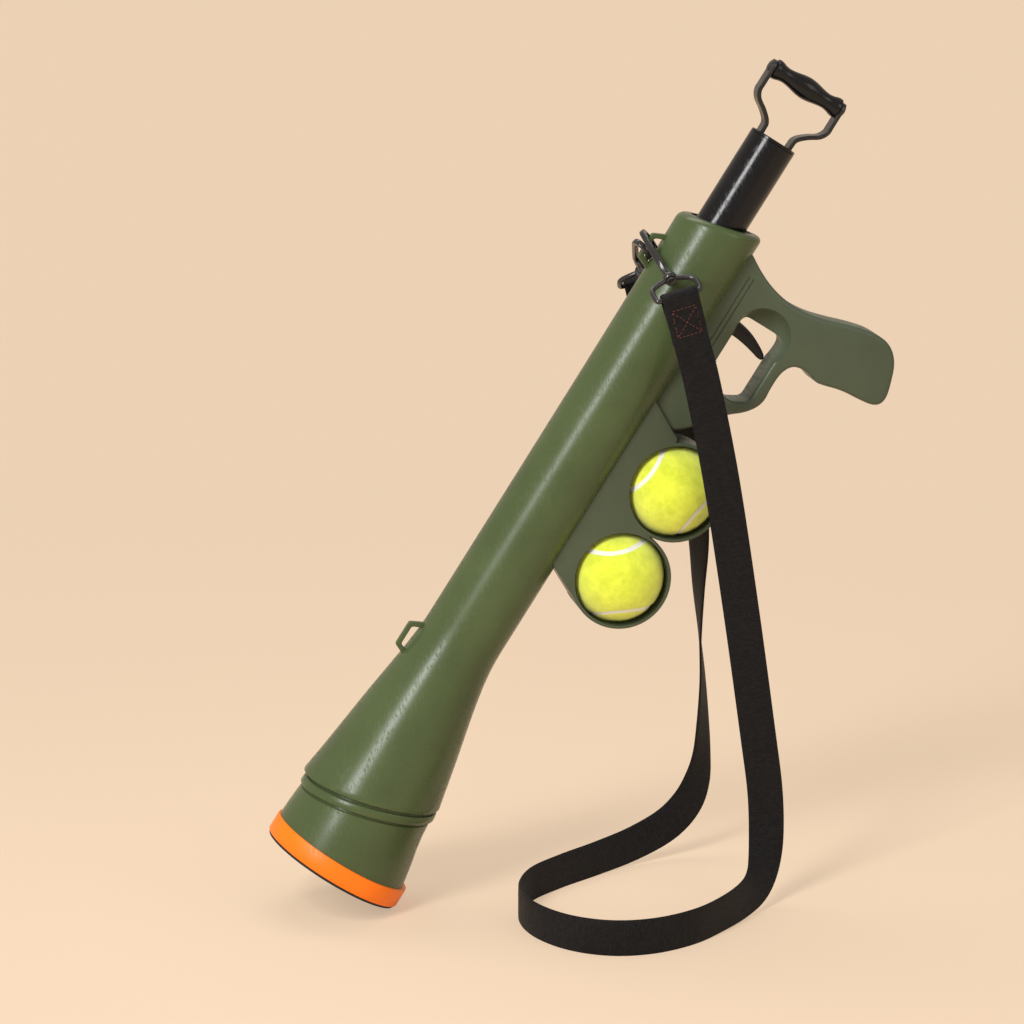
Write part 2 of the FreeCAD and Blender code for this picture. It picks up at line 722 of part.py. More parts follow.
def hook_body():
    """Hood, spine and neck of a snap hook, drawn with its hood at the origin and its neck up z."""
    half = hook_thickness / 2
    hood = cross_rod(0, 0, hood_outer, half).cut(cross_rod(0, 0, hood_inner, half + 1))
    hood = hood.common(box(-20, 20, -half, half, -20, 0))
    end = hook_shank
    spine = plate([(hood_inner, 0), (hood_outer, 0), (hood_outer - 0.4, end - 10), (5.0, end - 2.5), (2.6, end),
                   (-2.6, end), (-5.0, end - 1.8), (-5.6, end - 7.0), (hood_inner, end - 8.5)], half)
    tip = box(-hood_outer, -hood_inner, -half, half, 0, 3.4)
    body = hood.fuse([spine, tip]).removeSplitter()
    neck = Part.makeCylinder(hook_neck_radius, 7.4, Vec(0, 0, end - 0.5), Vec(0, 0, 1))
    head = Part.makeCylinder(3.6, 1.8, Vec(0, 0, end + 6.6), Vec(0, 0, 1))
    body = body.fuse([neck, head]).removeSplitter()
    px, pz = gate_pivot
    body = body.cut(box(-12.0, px + 2.6, -gate_half - 0.2, gate_half + 0.2, 20.0, pz + 2.4))
    return body.cut(cross_rod(px, pz, gate_pin_radius + running_gap, 10))


def hook_gate():
    """Sprung tongue that closes the hook, with its own hinge pin."""
    px, pz = gate_pivot
    outer = -hood_outer + 1.9
    reach = plate([(outer, 3.8), (outer + gate_width, 3.8), (outer + gate_width + 1.6, 8.0), (px + 1.8, pz - 1.0),
                   (px + 1.8, pz + 1.6), (px - 1.4, pz + 1.6), (px - 1.4, pz - 3.0), (outer + 1.6, 8.0)], gate_half)
    pin = cross_rod(px, pz, gate_pin_radius, hook_thickness / 2)
    return reach.fuse(pin).removeSplitter()


def eye():
    """Swivel eye: a boss round the hook's neck and an oval ring for the webbing."""
    boss = Part.makeCylinder(4.6, 4.6, Vec(0, 0, hook_shank + 1.6), Vec(0, 0, 1))
    top = hook_shank + 6.2
    half = strap_width / 2 + 1.0
    low = eye_reach
    bars = []
    route = [(-4.0, top - 2.2), (-half - 1.6, top + 6.0), (-half - 1.3, low), (half + 1.3, low),
             (half + 1.6, top + 6.0), (4.0, top - 2.2)]
    for (x0, z0), (x1, z1) in zip(route, route[1:]):
        a, b = Vec(x0, 0, z0), Vec(x1, 0, z1)
        bars.append(Part.makeCylinder(eye_bar, (b - a).Length, a, b - a))
        if abs(x1) > 5:
            bars.append(Part.makeSphere(eye_bar, b))
    ring = boss.fuse(bars).removeSplitter()
    ring = ring.cut(Part.makeCylinder(hook_neck_radius + running_gap, 12, Vec(0, 0, hook_shank), Vec(0, 0, 1)))
    return ring.cut(Part.makeCylinder(3.6 + side_gap, 4.0, Vec(0, 0, top + 0.1), Vec(0, 0, 1)))


# Strap: the middle of each row of the webbing below the eyes, from below the muzzle's centre, and its wide way
strap_rows = [
    ((254.0, -51.0, 368.5), (1.0, 0.02, 0.05)),
    ((268.5, -48.5, 301.0), (1.0, 0.0, 0.0)),
    ((284.0, -45.5, 210.0), (1.0, 0.0, 0.0)),
    ((297.8, -43.0, 120.0), (1.0, 0.0, 0.0)),
    ((303.5, -42.0, 80.0), (1.0, 0.0, 0.0)),
    ((304.6, -43.5, 50.0), (0.99, 0.0, -0.12)),
    ((302.0, -49.0, 30.0), (0.9, 0.1, -0.42)),
    ((295.0, -60.0, 18.5), (0.68, 0.15, -0.7)),
    ((282.0, -78.0, 13.8), (0.33, 0.1, -0.94)),
    ((261.0, -103.0, 12.9), (0.08, 0.04, -1.0)),
    ((235.0, -126.5, 12.6), (0.0, 0.0, -1.0)),
    ((204.0, -140.5, 12.6), (0.0, 0.0, -1.0)),
    ((174.0, -139.5, 12.6), (0.0, 0.0, -1.0)),
    ((148.0, -122.0, 12.6), (0.0, 0.0, -1.0)),
    ((131.0, -91.0, 12.6), (0.0, 0.0, -1.0)),
    ((128.0, -55.0, 12.6), (0.0, 0.0, -1.0)),
    ((142.0, -20.0, 12.6), (0.0, 0.0, -1.0)),
    ((168.0, 6.0, 12.6), (0.0, 0.0, -1.0)),
    ((198.0, 29.0, 12.8), (0.05, -0.02, -1.0)),
    ((230.0, 50.0, 15.6), (0.22, -0.05, -0.97)),
    ((257.0, 62.0, 24.5), (0.49, -0.05, -0.87)),
    ((273.0, 67.0, 38.0), (0.72, 0.1, -0.69)),
    ((281.5, 70.5, 54.0), (0.8, 0.4, -0.36)),
    ((285.6, 74.0, 73.0), (0.68, 0.7, -0.12)),
    ((286.8, 76.5, 98.0), (0.52, 0.85, 0.0)),
    ((286.6, 78.0, 128.0), (0.34, 0.94, 0.0)),
    ((284.4, 78.0, 160.0), (0.18, 0.98, 0.0)),
    ((282.6, 76.5, 195.0), (-0.1, 0.99, 0.0)),
    ((281.5, 74.0, 235.0), (-0.4, 0.92, 0.0)),
    ((275.0, 69.0, 285.0), (-0.66, 0.75, 0.0)),
    ((261.0, 60.0, 340.0), (-0.87, 0.5, -0.05)),
]


def fold_rows(side, stand):
    """Rows that carry the webbing over an eye's lower bar and stitch its tail to itself, from the tail on."""
    place = stand.multiply(eye_frame(side))
    bar = place.multVec(Vec(0, 0, eye_reach))
    along = place.Rotation.multVec(Vec(1, 0, 0))
    down = (Vec(0, 0, -1) + along * along.z).normalize()
    out = along.cross(down)
    if out.y * side < 0:
        out = out * -1.0
    bend = eye_bar + strap_thickness / 2 + 0.6
    tail = bend - strap_thickness - 0.25
    rows = [bar + down * 32.0 + out * tail, bar + down * 20.0 + out * tail, bar + down * 9.0 - out * bend * 0.5]
    for degrees in (180, 144, 108, 72, 36, 0):
        angle = math.radians(degrees)
        rows.append(bar + out * (bend * math.cos(angle)) - down * (bend * math.sin(angle)))
    rows += [bar + down * 10.0 + out * bend, bar + down * 22.0 + out * bend, bar + down * 34.0 + out * bend]
    return [(row, along) for row in rows]


def strap(stand):
    """Woven carrying strap: it hangs from the near hook, lies in a loop on its edge, and rises to the far hook."""
    near = fold_rows(-1, stand)
    far = [(row, along * -1.0) for row, along in reversed(fold_rows(1, stand))]
    table = [(Vec(x - origin_ahead_of_muzzle, y, z), Vec(*wide)) for (x, y, z), wide in strap_rows]
    rows = near + table + far
    middles = [row for row, wide in rows]
    hoops = []
    for k, (middle, wide) in enumerate(rows):
        ahead = middles[min(k + 1, len(middles) - 1)] - middles[max(k - 1, 0)]
        ahead.normalize()
        across = (wide - ahead * ahead.dot(wide)).normalize() * (strap_width / 2)
        out = ahead.cross(across).normalize() * (strap_thickness / 2)
        corners = [middle + across + out, middle - across + out, middle - across - out, middle + across - out]
        hoops.append(Part.makePolygon(corners + [corners[0]]))
    length = sum((b - a).Length for a, b in zip(middles, middles[1:]))
    print("strap length", round(length, 1))
    return Part.makeLoft(hoops, True, True)


def stance():
    """The lean, and the lift that sets the muzzle's lip on the floor."""
    lean = FreeCAD.Placement(Vec(0, 0, 0), FreeCAD.Rotation(Vec(0, 1, 0), lean_from_vertical - 90))
    lip = muzzle_lip()
    lip.Placement = lean
    lift = -lip.optimalBoundingBox(False).ZMin
    print("lift", round(lift, 3))
    return FreeCAD.Placement(Vec(-origin_ahead_of_muzzle, 0, lift), lean.Rotation)


def hook_set(name, side):
    """The three pieces of one snap hook, each hung in its place."""
    pieces = {name + "_hook": hook_body(), name + "_gate": hook_gate(), name + "_eye": eye()}
    for node, piece in pieces.items():
        piece.Placement = eye_frame(side) if node.endswith("eye") else hook_frame(side)
    return pieces


def main():
    os.makedirs("parts", exist_ok=True)
    frame = frame_body()
    pieces = {
        "barrel": barrel(),
        "rear_bush": rear_bush(),
        "funnel": funnel(),
        "seam_bead": seam_bead(),
        "muzzle_ring": muzzle_ring(),
        "muzzle_lip": muzzle_lip(),
        "ball_retainer": ball_retainer(),
        "stop_ring": stop_ring(),
        "buffer_washer": buffer_washer(),
        "plunger_head": plunger_head(),
        "plunger_pad": plunger_pad(),
        "pull_tube": pull_tube(),
        "spring_seat": spring_seat(),
        "main_spring": main_spring(),
        "tube_cap": tube_cap(),
        "cap_pin": cap_pin(),
        "yoke": yoke(),
        "handle_grip": handle_grip(),
        "grip_pin": grip_pin(),
        "frame_near": frame_half(frame, -1),
        "frame_far": frame_half(frame, 1),
        "frame_screws": frame_screws(),
        "trigger": trigger(),
        "trigger_pin": cross_pin(trigger_station, trigger_drop),
        "trigger_spring": trigger_spring(),
        "sear": sear(),
        "sear_pin": cross_pin(sear_station, sear_drop),
        "sear_spring": sear_spring(),
        "spare_ball_front": spare_ball(front_cup_station),
        "spare_ball_rear": spare_ball(front_cup_station + cup_pitch),
    }
    pieces.update(hook_set("near", -1))
    pieces.update(hook_set("far", 1))
    stand = stance()
    for name, shape in pieces.items():
        shape.Placement = stand.multiply(shape.Placement)
        shape.exportStep("parts/" + name + ".step")
    strap(stand).exportStep("parts/strap.step")


main()
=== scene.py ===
import bmesh
import bpy
import math
from mathutils import Matrix, Vector
from mathutils.kdtree import KDTree


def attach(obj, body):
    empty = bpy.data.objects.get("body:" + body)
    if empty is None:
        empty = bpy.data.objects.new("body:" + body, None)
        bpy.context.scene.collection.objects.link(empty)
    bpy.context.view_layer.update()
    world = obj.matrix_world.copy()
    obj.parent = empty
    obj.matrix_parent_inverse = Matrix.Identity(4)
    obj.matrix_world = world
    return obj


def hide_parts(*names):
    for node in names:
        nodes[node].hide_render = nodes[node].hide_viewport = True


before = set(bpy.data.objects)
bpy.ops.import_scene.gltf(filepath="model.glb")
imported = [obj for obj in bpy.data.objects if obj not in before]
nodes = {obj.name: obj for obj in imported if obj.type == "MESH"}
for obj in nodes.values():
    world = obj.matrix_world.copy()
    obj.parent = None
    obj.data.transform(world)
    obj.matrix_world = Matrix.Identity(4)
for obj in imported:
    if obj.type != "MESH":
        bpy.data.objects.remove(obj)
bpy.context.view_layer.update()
scene = bpy.context.scene


# Camera and studio.
# A long lens a little above the launcher and left of it. The floor is one plain pale sheet, evened out to one
# colour away from the launcher; a tall soft box lights it from the left, with weaker ones right and above.

camera = bpy.data.objects.new("camera", bpy.data.cameras.new("camera"))
camera.location = (-0.53435, -2.62431, 0.89086)
camera.rotation_euler = (math.radians(77.0), 0.0, math.radians(-10.5))
camera.data.lens, camera.data.sensor_width = 140.625, 36.0
scene.collection.objects.link(camera)
scene.camera = camera
scene.view_settings.view_transform = "Standard"

sweep_colour = (0.84, 0.64, 0.46)


def soft_box(name, place, aim, width, height, watts):
    """A rectangular soft light that faces the aim point."""
    lamp = bpy.data.lights.new(name, "AREA")
    lamp.shape = "RECTANGLE"
    lamp.size, lamp.size_y, lamp.energy = width, height, watts
    light = bpy.data.objects.new(name, lamp)
    light.location = place
    light.rotation_euler = (Vector(aim) - Vector(place)).to_track_quat("-Z", "Y").to_euler()
    scene.collection.objects.link(light)


soft_box("left_box", (-1.45, -1.5, 1.85), (0.0, 0.0, 0.3), 0.6, 1.6, 66.0)
soft_box("right_box", (1.5, -1.7, 1.3), (0.0, 0.0, 0.3), 1.2, 1.2, 8.0)
soft_box("top_box", (-0.1, 0.9, 2.3), (0.0, 0.0, 0.2), 1.4, 1.0, 16.0)


def node(tree, kind, **values):
    """A node with its settings and unlinked inputs filled in; an input's name has underlines for its spaces."""
    made = tree.nodes.new(kind)
    for key, value in values.items():
        label = key.replace("_", " ")
        if label in made.inputs:
            made.inputs[label].default_value = value
        else:
            setattr(made, key, value)
    return made


def linked(tree, *routes):
    """Links: each route gives a socket, or a node and its output, then the node and input that it feeds."""
    for *source, fed, label in routes:
        socket = source[0].outputs[source[1]] if len(source) == 2 else source[0]
        tree.links.new(socket, fed.inputs[label])


def object_place(tree):
    """Where a point of the piece is, in the piece's own space."""
    return node(tree, "ShaderNodeTexCoord").outputs["Object"]


def surface(name, **sockets):
    """A new material with its shader's own sockets set, and its tree and shader."""
    material = bpy.data.materials.new(name)
    material.use_nodes = True
    shader = material.node_tree.nodes["Principled BSDF"]
    for label, value in sockets.items():
        shader.inputs[label.replace("_", " ")].default_value = value
    return material, material.node_tree, shader


def backdrop_rays(tree):
    """One for the camera's rays, and part of it for those in a gloss or a glass: they find a plain backdrop."""
    path = node(tree, "ShaderNodeLightPath")
    total = path.outputs["Is Camera Ray"]
    for kind in ("Is Glossy Ray", "Is Transmission Ray"):
        added = node(tree, "ShaderNodeMath", operation="MULTIPLY_ADD", use_clamp=True)
        added.inputs[1].default_value = 0.4
        linked(tree, (path, kind, added, 0), (total, added, 2))
        total = added.outputs["Value"]
    return total


world = bpy.data.worlds.new("studio")
world.use_nodes = True
air = world.node_tree
light_or_look = node(air, "ShaderNodeMixRGB", Color1=(0.46, 0.44, 0.42, 1.0), Color2=(*sweep_colour, 1.0))
linked(air, (backdrop_rays(air), light_or_look, "Fac"),
       (light_or_look, "Color", air.nodes["Background"], "Color"))
scene.world = world

sweep = bpy.data.meshes.new("floor_sweep")
sweep.from_pydata([(-15, -15, 0), (15, -15, 0), (15, 15, 0), (-15, 15, 0)], [], [(0, 1, 2, 3)])
paper, sheet, matt = surface("pale_paper", Base_Color=(*sweep_colour, 1.0), Roughness=0.95, Specular_IOR_Level=0.1)
even = node(sheet, "ShaderNodeEmission", Color=(*sweep_colour, 1.0))
off_centre = node(sheet, "ShaderNodeVectorMath", operation="LENGTH")
evened = node(sheet, "ShaderNodeMapRange", From_Min=0.35, From_Max=1.3, To_Min=0.6, To_Max=1.0)
share = node(sheet, "ShaderNodeMath", operation="MULTIPLY")
blend = node(sheet, "ShaderNodeMixShader")
linked(sheet, (object_place(sheet), off_centre, 0),
       (off_centre, "Value", evened, "Value"), (evened, "Result", share, 0),
       (backdrop_rays(sheet), share, 1), (share, "Value", blend, "Fac"),
       (matt, "BSDF", blend, 1), (even, "Emission", blend, 2),
       (blend, "Shader", sheet.nodes["Material Output"], "Surface"))
sweep.materials.append(paper)
floor = bpy.data.objects.new("floor_sweep", sweep)
scene.collection.objects.link(floor)


# Carrying strap.
# 25 mm polypropylene webbing, woven flat with a coarse ribbed face. Each end goes round its eye's lower bar and
# is sewn back on itself with a crossed box of dark red thread; only the near end's stitches are made. It hangs,
# and lies on its edge where it turns.

strap_half_width = 0.0125
strap_half_thickness = 0.0009
smooth_steps = 6
eye_bars = {
    "near": ((0.056753, -0.049252, 0.429875), (0.96735, 0.05899, 0.24646), -1.0),
    "far": ((0.05267, 0.049252, 0.423465), (0.96735, -0.05899, 0.24646), 1.0),
}
strap_run = [
    ((0.073, -0.051, 0.3685), (1.0, 0.02, 0.05)), ((0.0875, -0.0485, 0.301), (1.0, 0.0, 0.0)),
    ((0.103, -0.0455, 0.21), (1.0, 0.0, 0.0)), ((0.1168, -0.043, 0.12), (1.0, 0.0, 0.0)),
    ((0.1225, -0.042, 0.08), (1.0, 0.0, 0.0)), ((0.1236, -0.0435, 0.05), (0.99, 0.0, -0.12)),
    ((0.121, -0.049, 0.03), (0.9, 0.1, -0.42)), ((0.114, -0.06, 0.0185), (0.68, 0.15, -0.7)),
    ((0.101, -0.078, 0.0138), (0.33, 0.1, -0.94)), ((0.08, -0.103, 0.0129), (0.08, 0.04, -1.0)),
    ((0.054, -0.1265, 0.0126), (0.0, 0.0, -1.0)), ((0.023, -0.1405, 0.0126), (0.0, 0.0, -1.0)),
    ((-0.007, -0.1395, 0.0126), (0.0, 0.0, -1.0)), ((-0.033, -0.122, 0.0126), (0.0, 0.0, -1.0)),
    ((-0.05, -0.091, 0.0126), (0.0, 0.0, -1.0)), ((-0.053, -0.055, 0.0126), (0.0, 0.0, -1.0)),
    ((-0.039, -0.02, 0.0126), (0.0, 0.0, -1.0)), ((-0.013, 0.006, 0.0126), (0.0, 0.0, -1.0)),
    ((0.017, 0.029, 0.0128), (0.05, -0.02, -1.0)), ((0.049, 0.05, 0.0156), (0.22, -0.05, -0.97)),
    ((0.076, 0.062, 0.0245), (0.49, -0.05, -0.87)), ((0.092, 0.067, 0.038), (0.72, 0.1, -0.69)),
    ((0.1005, 0.0705, 0.054), (0.8, 0.4, -0.36)), ((0.1046, 0.074, 0.073), (0.68, 0.7, -0.12)),
    ((0.1058, 0.0765, 0.098), (0.52, 0.85, 0.0)), ((0.1056, 0.078, 0.128), (0.34, 0.94, 0.0)),
    ((0.1034, 0.078, 0.16), (0.18, 0.98, 0.0)), ((0.1016, 0.0765, 0.195), (-0.1, 0.99, 0.0)),
    ((0.1005, 0.074, 0.235), (-0.4, 0.92, 0.0)), ((0.094, 0.069, 0.285), (-0.66, 0.75, 0.0)),
    ((0.08, 0.06, 0.34), (-0.87, 0.5, -0.05)),
]


def fold_over(bar, along, side):
    """Rows that carry the webbing over an eye's bar, from the sewn tail on."""
    bar, along = Vector(bar), Vector(along)
    down = (Vector((0, 0, -1)) + along * along.z).normalized()
    out = along.cross(down)
    if out.y * side < 0:
        out = -out
    bend, tail = 0.0034, 0.00135
    rows = [bar + down * 0.032 + out * tail, bar + down * 0.020 + out * tail, bar + down * 0.009 - out * bend * 0.5]
    for degrees in (180, 144, 108, 72, 36, 0):
        angle = math.radians(degrees)
        rows.append(bar + out * (bend * math.cos(angle)) - down * (bend * math.sin(angle)))
    rows += [bar + down * 0.010 + out * bend, bar + down * 0.022 + out * bend, bar + down * 0.034 + out * bend]
    return [(row, along) for row in rows]


def between(a, b, c, d, t):
    """A smooth value between b and c, with a and d their neighbours."""
    return 0.5 * (2 * b + (c - a) * t + (2 * a - 5 * b + 4 * c - d) * t * t + (3 * b - a - 3 * c + d) * t ** 3)


def smoothed(rows, steps):
    """More rows of vectors on a smooth line through the given ones."""
    fine = []
    for k in range(len(rows) - 1):
        quad = [rows[max(k - 1, 0)], rows[k], rows[k + 1], rows[min(k + 2, len(rows) - 1)]]
        for step in range(steps):
            fine.append(tuple(between(*[q[part] for q in quad], step / steps) for part in range(len(rows[0]))))
    return fine + [rows[-1]]


def settled(build, name, outwards=False):
    """The worked shape as a plain mesh; outwards turns its faces out first."""
    if outwards:
        bmesh.ops.recalc_face_normals(build, faces=build.faces)
    mesh = bpy.data.meshes.new(name)
    build.to_mesh(mesh)
    build.free()
    return mesh


def ribbon(rows):
    """A woven band through rows of (middle, wide way), with its own map: across, then along, in metres."""
    profile = [(-1.0, 0.35), (-0.93, 0.85), (-0.5, 1.0), (0.0, 0.94), (0.5, 1.0), (0.93, 0.85), (1.0, 0.35)]
    loop = profile + [(a, -b) for a, b in reversed(profile)]
    build = bmesh.new()
    chart = build.loops.layers.uv.new("weave")
    rings, walked, length = [], [], 0.0
    for k, (middle, wide) in enumerate(rows):
        ahead = (rows[min(k + 1, len(rows) - 1)][0] - rows[max(k - 1, 0)][0]).normalized()
        across = (wide - ahead * ahead.dot(wide)).normalized()
        out = ahead.cross(across)
        if k:
            length += (middle - rows[k - 1][0]).length
        walked.append(length)
        rings.append([build.verts.new(middle + across * (a * strap_half_width) + out * (b * strap_half_thickness))
                      for a, b in loop])
    count = len(loop)
    for k in range(len(rings) - 1):
        for j in range(count):
            i = (j + 1) % count
            face = build.faces.new((rings[k][j], rings[k][i], rings[k + 1][i], rings[k + 1][j]))
            for corner, (a, row) in zip(face.loops, ((j, k), (i, k), (i, k + 1), (j, k + 1))):
                corner[chart].uv = (loop[a][0] * strap_half_width, walked[row])
    for ring in (rings[0][::-1], rings[-1]):
        build.faces.new(ring)
    return settled(build, "strap", outwards=True), length


def ramp(tree, factor, low, high, first, second):
    """A colour or level that goes from first at low to second at high."""
    made = tree.nodes.new("ShaderNodeValToRGB")
    for stop, place, value in zip(made.color_ramp.elements, (low, high), (first, second)):
        stop.position = place
        stop.color = (*value, 1.0) if isinstance(value, tuple) else (value, value, value, 1.0)
    linked(tree, (factor, made, "Fac"))
    return made.outputs["Color"]


def noise(tree, place, **values):
    """A cloudy factor read at a place."""
    made = node(tree, "ShaderNodeTexNoise", **values)
    linked(tree, (place, made, "Vector"))
    return made.outputs["Fac"]


def bumped(tree, shader, height, strength, distance):
    """Small relief on the shader, from a height."""
    bump = node(tree, "ShaderNodeBump", Strength=strength, Distance=distance)
    linked(tree, (height, bump, "Height"), (bump, "Normal", shader, "Normal"))


def webbing():
    """Black woven polypropylene: short ribs laid in rows, a dusty bloom on the high threads, dark gaps between."""
    material, tree, shader = surface("black_webbing", Sheen_Weight=0.02, Sheen_Roughness=0.5, Roughness=0.6,
                                     Specular_IOR_Level=0.15)
    chart = node(tree, "ShaderNodeUVMap", uv_map="weave").outputs["UV"]
    ribs = node(tree, "ShaderNodeTexBrick", Color1=(0.006, 0.006, 0.007, 1), Color2=(0.014, 0.013, 0.014, 1),
                Mortar=(0.001, 0.001, 0.001, 1), Scale=1.0, Mortar_Size=0.00022, Mortar_Smooth=0.9,
                Brick_Width=0.0024, Row_Height=0.0011)
    bloom = ramp(tree, noise(tree, chart, Scale=2600.0, Detail=3.0), 0.6, 0.85, 0.0, 0.2)
    dusty = node(tree, "ShaderNodeMixRGB", blend_type="ADD", Color2=(0.07, 0.066, 0.062, 1.0))
    height = node(tree, "ShaderNodeMath", operation="SUBTRACT")
    height.inputs[0].default_value = 1.0
    linked(tree, (chart, ribs, "Vector"), (bloom, dusty, "Fac"),
           (ribs, "Color", dusty, "Color1"), (dusty, "Color", shader, "Base Color"),
           (ribs, "Fac", height, 1))
    bumped(tree, shader, height.outputs["Value"], 0.9, 0.0005)
    return material


def plain_mesh(thing):
    """The evaluated form of an object as a mesh of its own; the object itself goes."""
    if thing.name not in scene.collection.objects:
        scene.collection.objects.link(thing)
    bpy.context.view_layer.update()
    mesh = bpy.data.meshes.new_from_object(thing.evaluated_get(bpy.context.evaluated_depsgraph_get()))
    bpy.data.objects.remove(thing)
    return mesh


def shown(name, mesh, material, slot, body, *cad_nodes, crease=35.0):
    """A finished piece: its mesh, its material, the body that it rides on and the CAD nodes that it stands for."""
    mesh.materials.clear()
    mesh.materials.append(material)
    mesh.shade_smooth()
    mesh.set_sharp_from_angle(angle=math.radians(crease))
    piece = bpy.data.objects.new(name, mesh)
    scene.collection.objects.link(piece)
    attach(piece, body)
    if cad_nodes:
        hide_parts(*cad_nodes)
    return piece


strap_rows = fold_over(*eye_bars["near"])
strap_rows += [(Vector(middle), Vector(wide)) for middle, wide in strap_run]
strap_rows += [(middle, -along) for middle, along in reversed(fold_over(*eye_bars["far"]))]
strap_rows = smoothed(strap_rows, smooth_steps)
strap_mesh, strap_length = ribbon(strap_rows)
strap = shown("webbing_strap", strap_mesh, webbing(), "webbing", "barrel", "strap")


def thread():
    """Dark red polyester sewing thread."""
    material, tree, shader = surface("red_thread", Roughness=0.6)
    twist = noise(tree, object_place(tree), Scale=3000.0)
    linked(tree, (ramp(tree, twist, 0.35, 0.65, (0.09, 0.016, 0.012), (0.2, 0.035, 0.025)), shader, "Base Color"))
    return material


def blank_tree(name, **inputs):
    """A Geometry Nodes tree with its geometry and further named inputs, and its two ends."""
    tree = bpy.data.node_groups.new(name, "GeometryNodeTree")
    for label, kind in (("Geometry", "Geometry"), *inputs.items()):
        tree.interface.new_socket(label.replace("_", " "), in_out="INPUT", socket_type="NodeSocket" + kind)
    tree.interface.new_socket("Geometry", in_out="OUTPUT", socket_type="NodeSocketGeometry")
    return tree, node(tree, "NodeGroupInput"), node(tree, "NodeGroupOutput")


def grown(name, mesh, tree, **values):
    """What the tree makes of the mesh with these inputs, as a plain mesh."""
    holder = bpy.data.objects.new(name, mesh)
    pattern = holder.modifiers.new("pattern", "NODES")
    pattern.node_group = tree
    for label, value in values.items():
        pattern[tree.interface.items_tree[label.replace("_", " ")].identifier] = value
    return plain_mesh(holder)


def repeated(name, places, turns, shape, material):
    """Copies of one small shape at places, each turned its own way, made by Geometry Nodes into one plain mesh."""
    spots = bpy.data.meshes.new(name)
    spots.from_pydata(places, [], [])
    facing = spots.attributes.new("facing", "FLOAT_VECTOR", "POINT")
    for item, turn in zip(facing.data, turns):
        item.vector = turn
    template = bpy.data.objects.new(name + "_shape", shape)
    scene.collection.objects.link(template)
    tree, given, made = blank_tree(name, Shape="Object")
    pattern = node(tree, "GeometryNodeObjectInfo")
    turn = node(tree, "GeometryNodeInputNamedAttribute", data_type="FLOAT_VECTOR", Name="facing")
    copies = node(tree, "GeometryNodeInstanceOnPoints")
    real = node(tree, "GeometryNodeRealizeInstances")
    coloured = node(tree, "GeometryNodeSetMaterial", Material=material)
    linked(tree, (given, "Geometry", copies, "Points"),
           (given, "Shape", pattern, "Object"), (pattern, "Geometry", copies, "Instance"),
           (turn, "Attribute", copies, "Rotation"), (copies, "Instances", real, "Geometry"),
           (real, "Geometry", coloured, "Geometry"),
           (coloured, "Geometry", made, "Geometry"))
    mesh = grown(name, spots, tree, Shape=template)
    bpy.data.objects.remove(template)
    return mesh


def on_strap(start, reach, across, lift):
    """A spot on the webbing's outer face near a sewn end: metres along it, metres across it, and its directions."""
    walked, k = 0.0, start
    while walked < reach:
        walked += (strap_rows[k + 1][0] - strap_rows[k][0]).length
        k += 1
    middle, wide = strap_rows[k]
    ahead = (strap_rows[k + 1][0] - strap_rows[k - 1][0]).normalized()
    wide = (wide - ahead * ahead.dot(wide)).normalized()
    return middle + wide * across + ahead.cross(wide) * lift, ahead, wide


def sewn_box(first_row, lift):
    """Stitches round a box with a cross in it, as places and turns on the webbing."""
    low, high, half, pitch = 0.008, 0.026, 0.0085, 0.0026
    box = [(low, -half), (high, -half), (high, half), (low, half)]
    corners = box + [box[0], box[2], box[3], box[1]]
    places, turns = [], []
    for (a0, w0), (a1, w1) in zip(corners, corners[1:]):
        run = math.hypot(a1 - a0, w1 - w0)
        count = int(run / pitch)
        for k in range(count):
            share = (k + 0.5) / count
            spot, ahead, wide = on_strap(first_row, a0 + (a1 - a0) * share, w0 + (w1 - w0) * share, lift)
            way = ahead * (a1 - a0) + wide * (w1 - w0)
            places.append(spot)
            turns.append(way.to_track_quat("X", "Z").to_euler())
    return places, turns


stitch = bmesh.new()
bmesh.ops.create_icosphere(stitch, subdivisions=1, radius=1.0, matrix=Matrix.Diagonal((0.00105, 0.00026, 0.00026, 1)))
red_thread = thread()
fold_end = 8 * smooth_steps
near_sewing = sewn_box(fold_end, strap_half_thickness)
stitches = repeated("strap_stitches", *near_sewing, settled(stitch, "stitch"), red_thread)
sewing = shown("strap_sewing", stitches, red_thread, "webbing", "barrel")


# Muzzle funnel and its raised band.
# The front shell of the muzzle, injection moulded in olive ABS. It slips inside the bell behind it, and a
# raised band with a fine groove in front marks the joint. Both slant with the bell's edge.

lean = math.radians(32.5)
leaning = Matrix((
    (math.sin(lean), 0.0, -math.cos(lean), -0.181),
    (0.0, 1.0, 0.0, 0.0),
    (math.cos(lean), 0.0, math.sin(lean), 0.033632),
    (0.0, 0.0, 0.0, 1.0),
)) @ Matrix.Scale(0.001, 4)
muzzle_line = [(2.0, 50.6, 8.2), (28.0, 47.7, 6.5), (45.0, 45.2, 5.4), (60.0, 44.0, 4.9), (72.0, 42.8, 4.4),
               (84.0, 40.7, 3.8)]
seam_slope = 0.268
band_front, band_rear = 50.0, 56.4


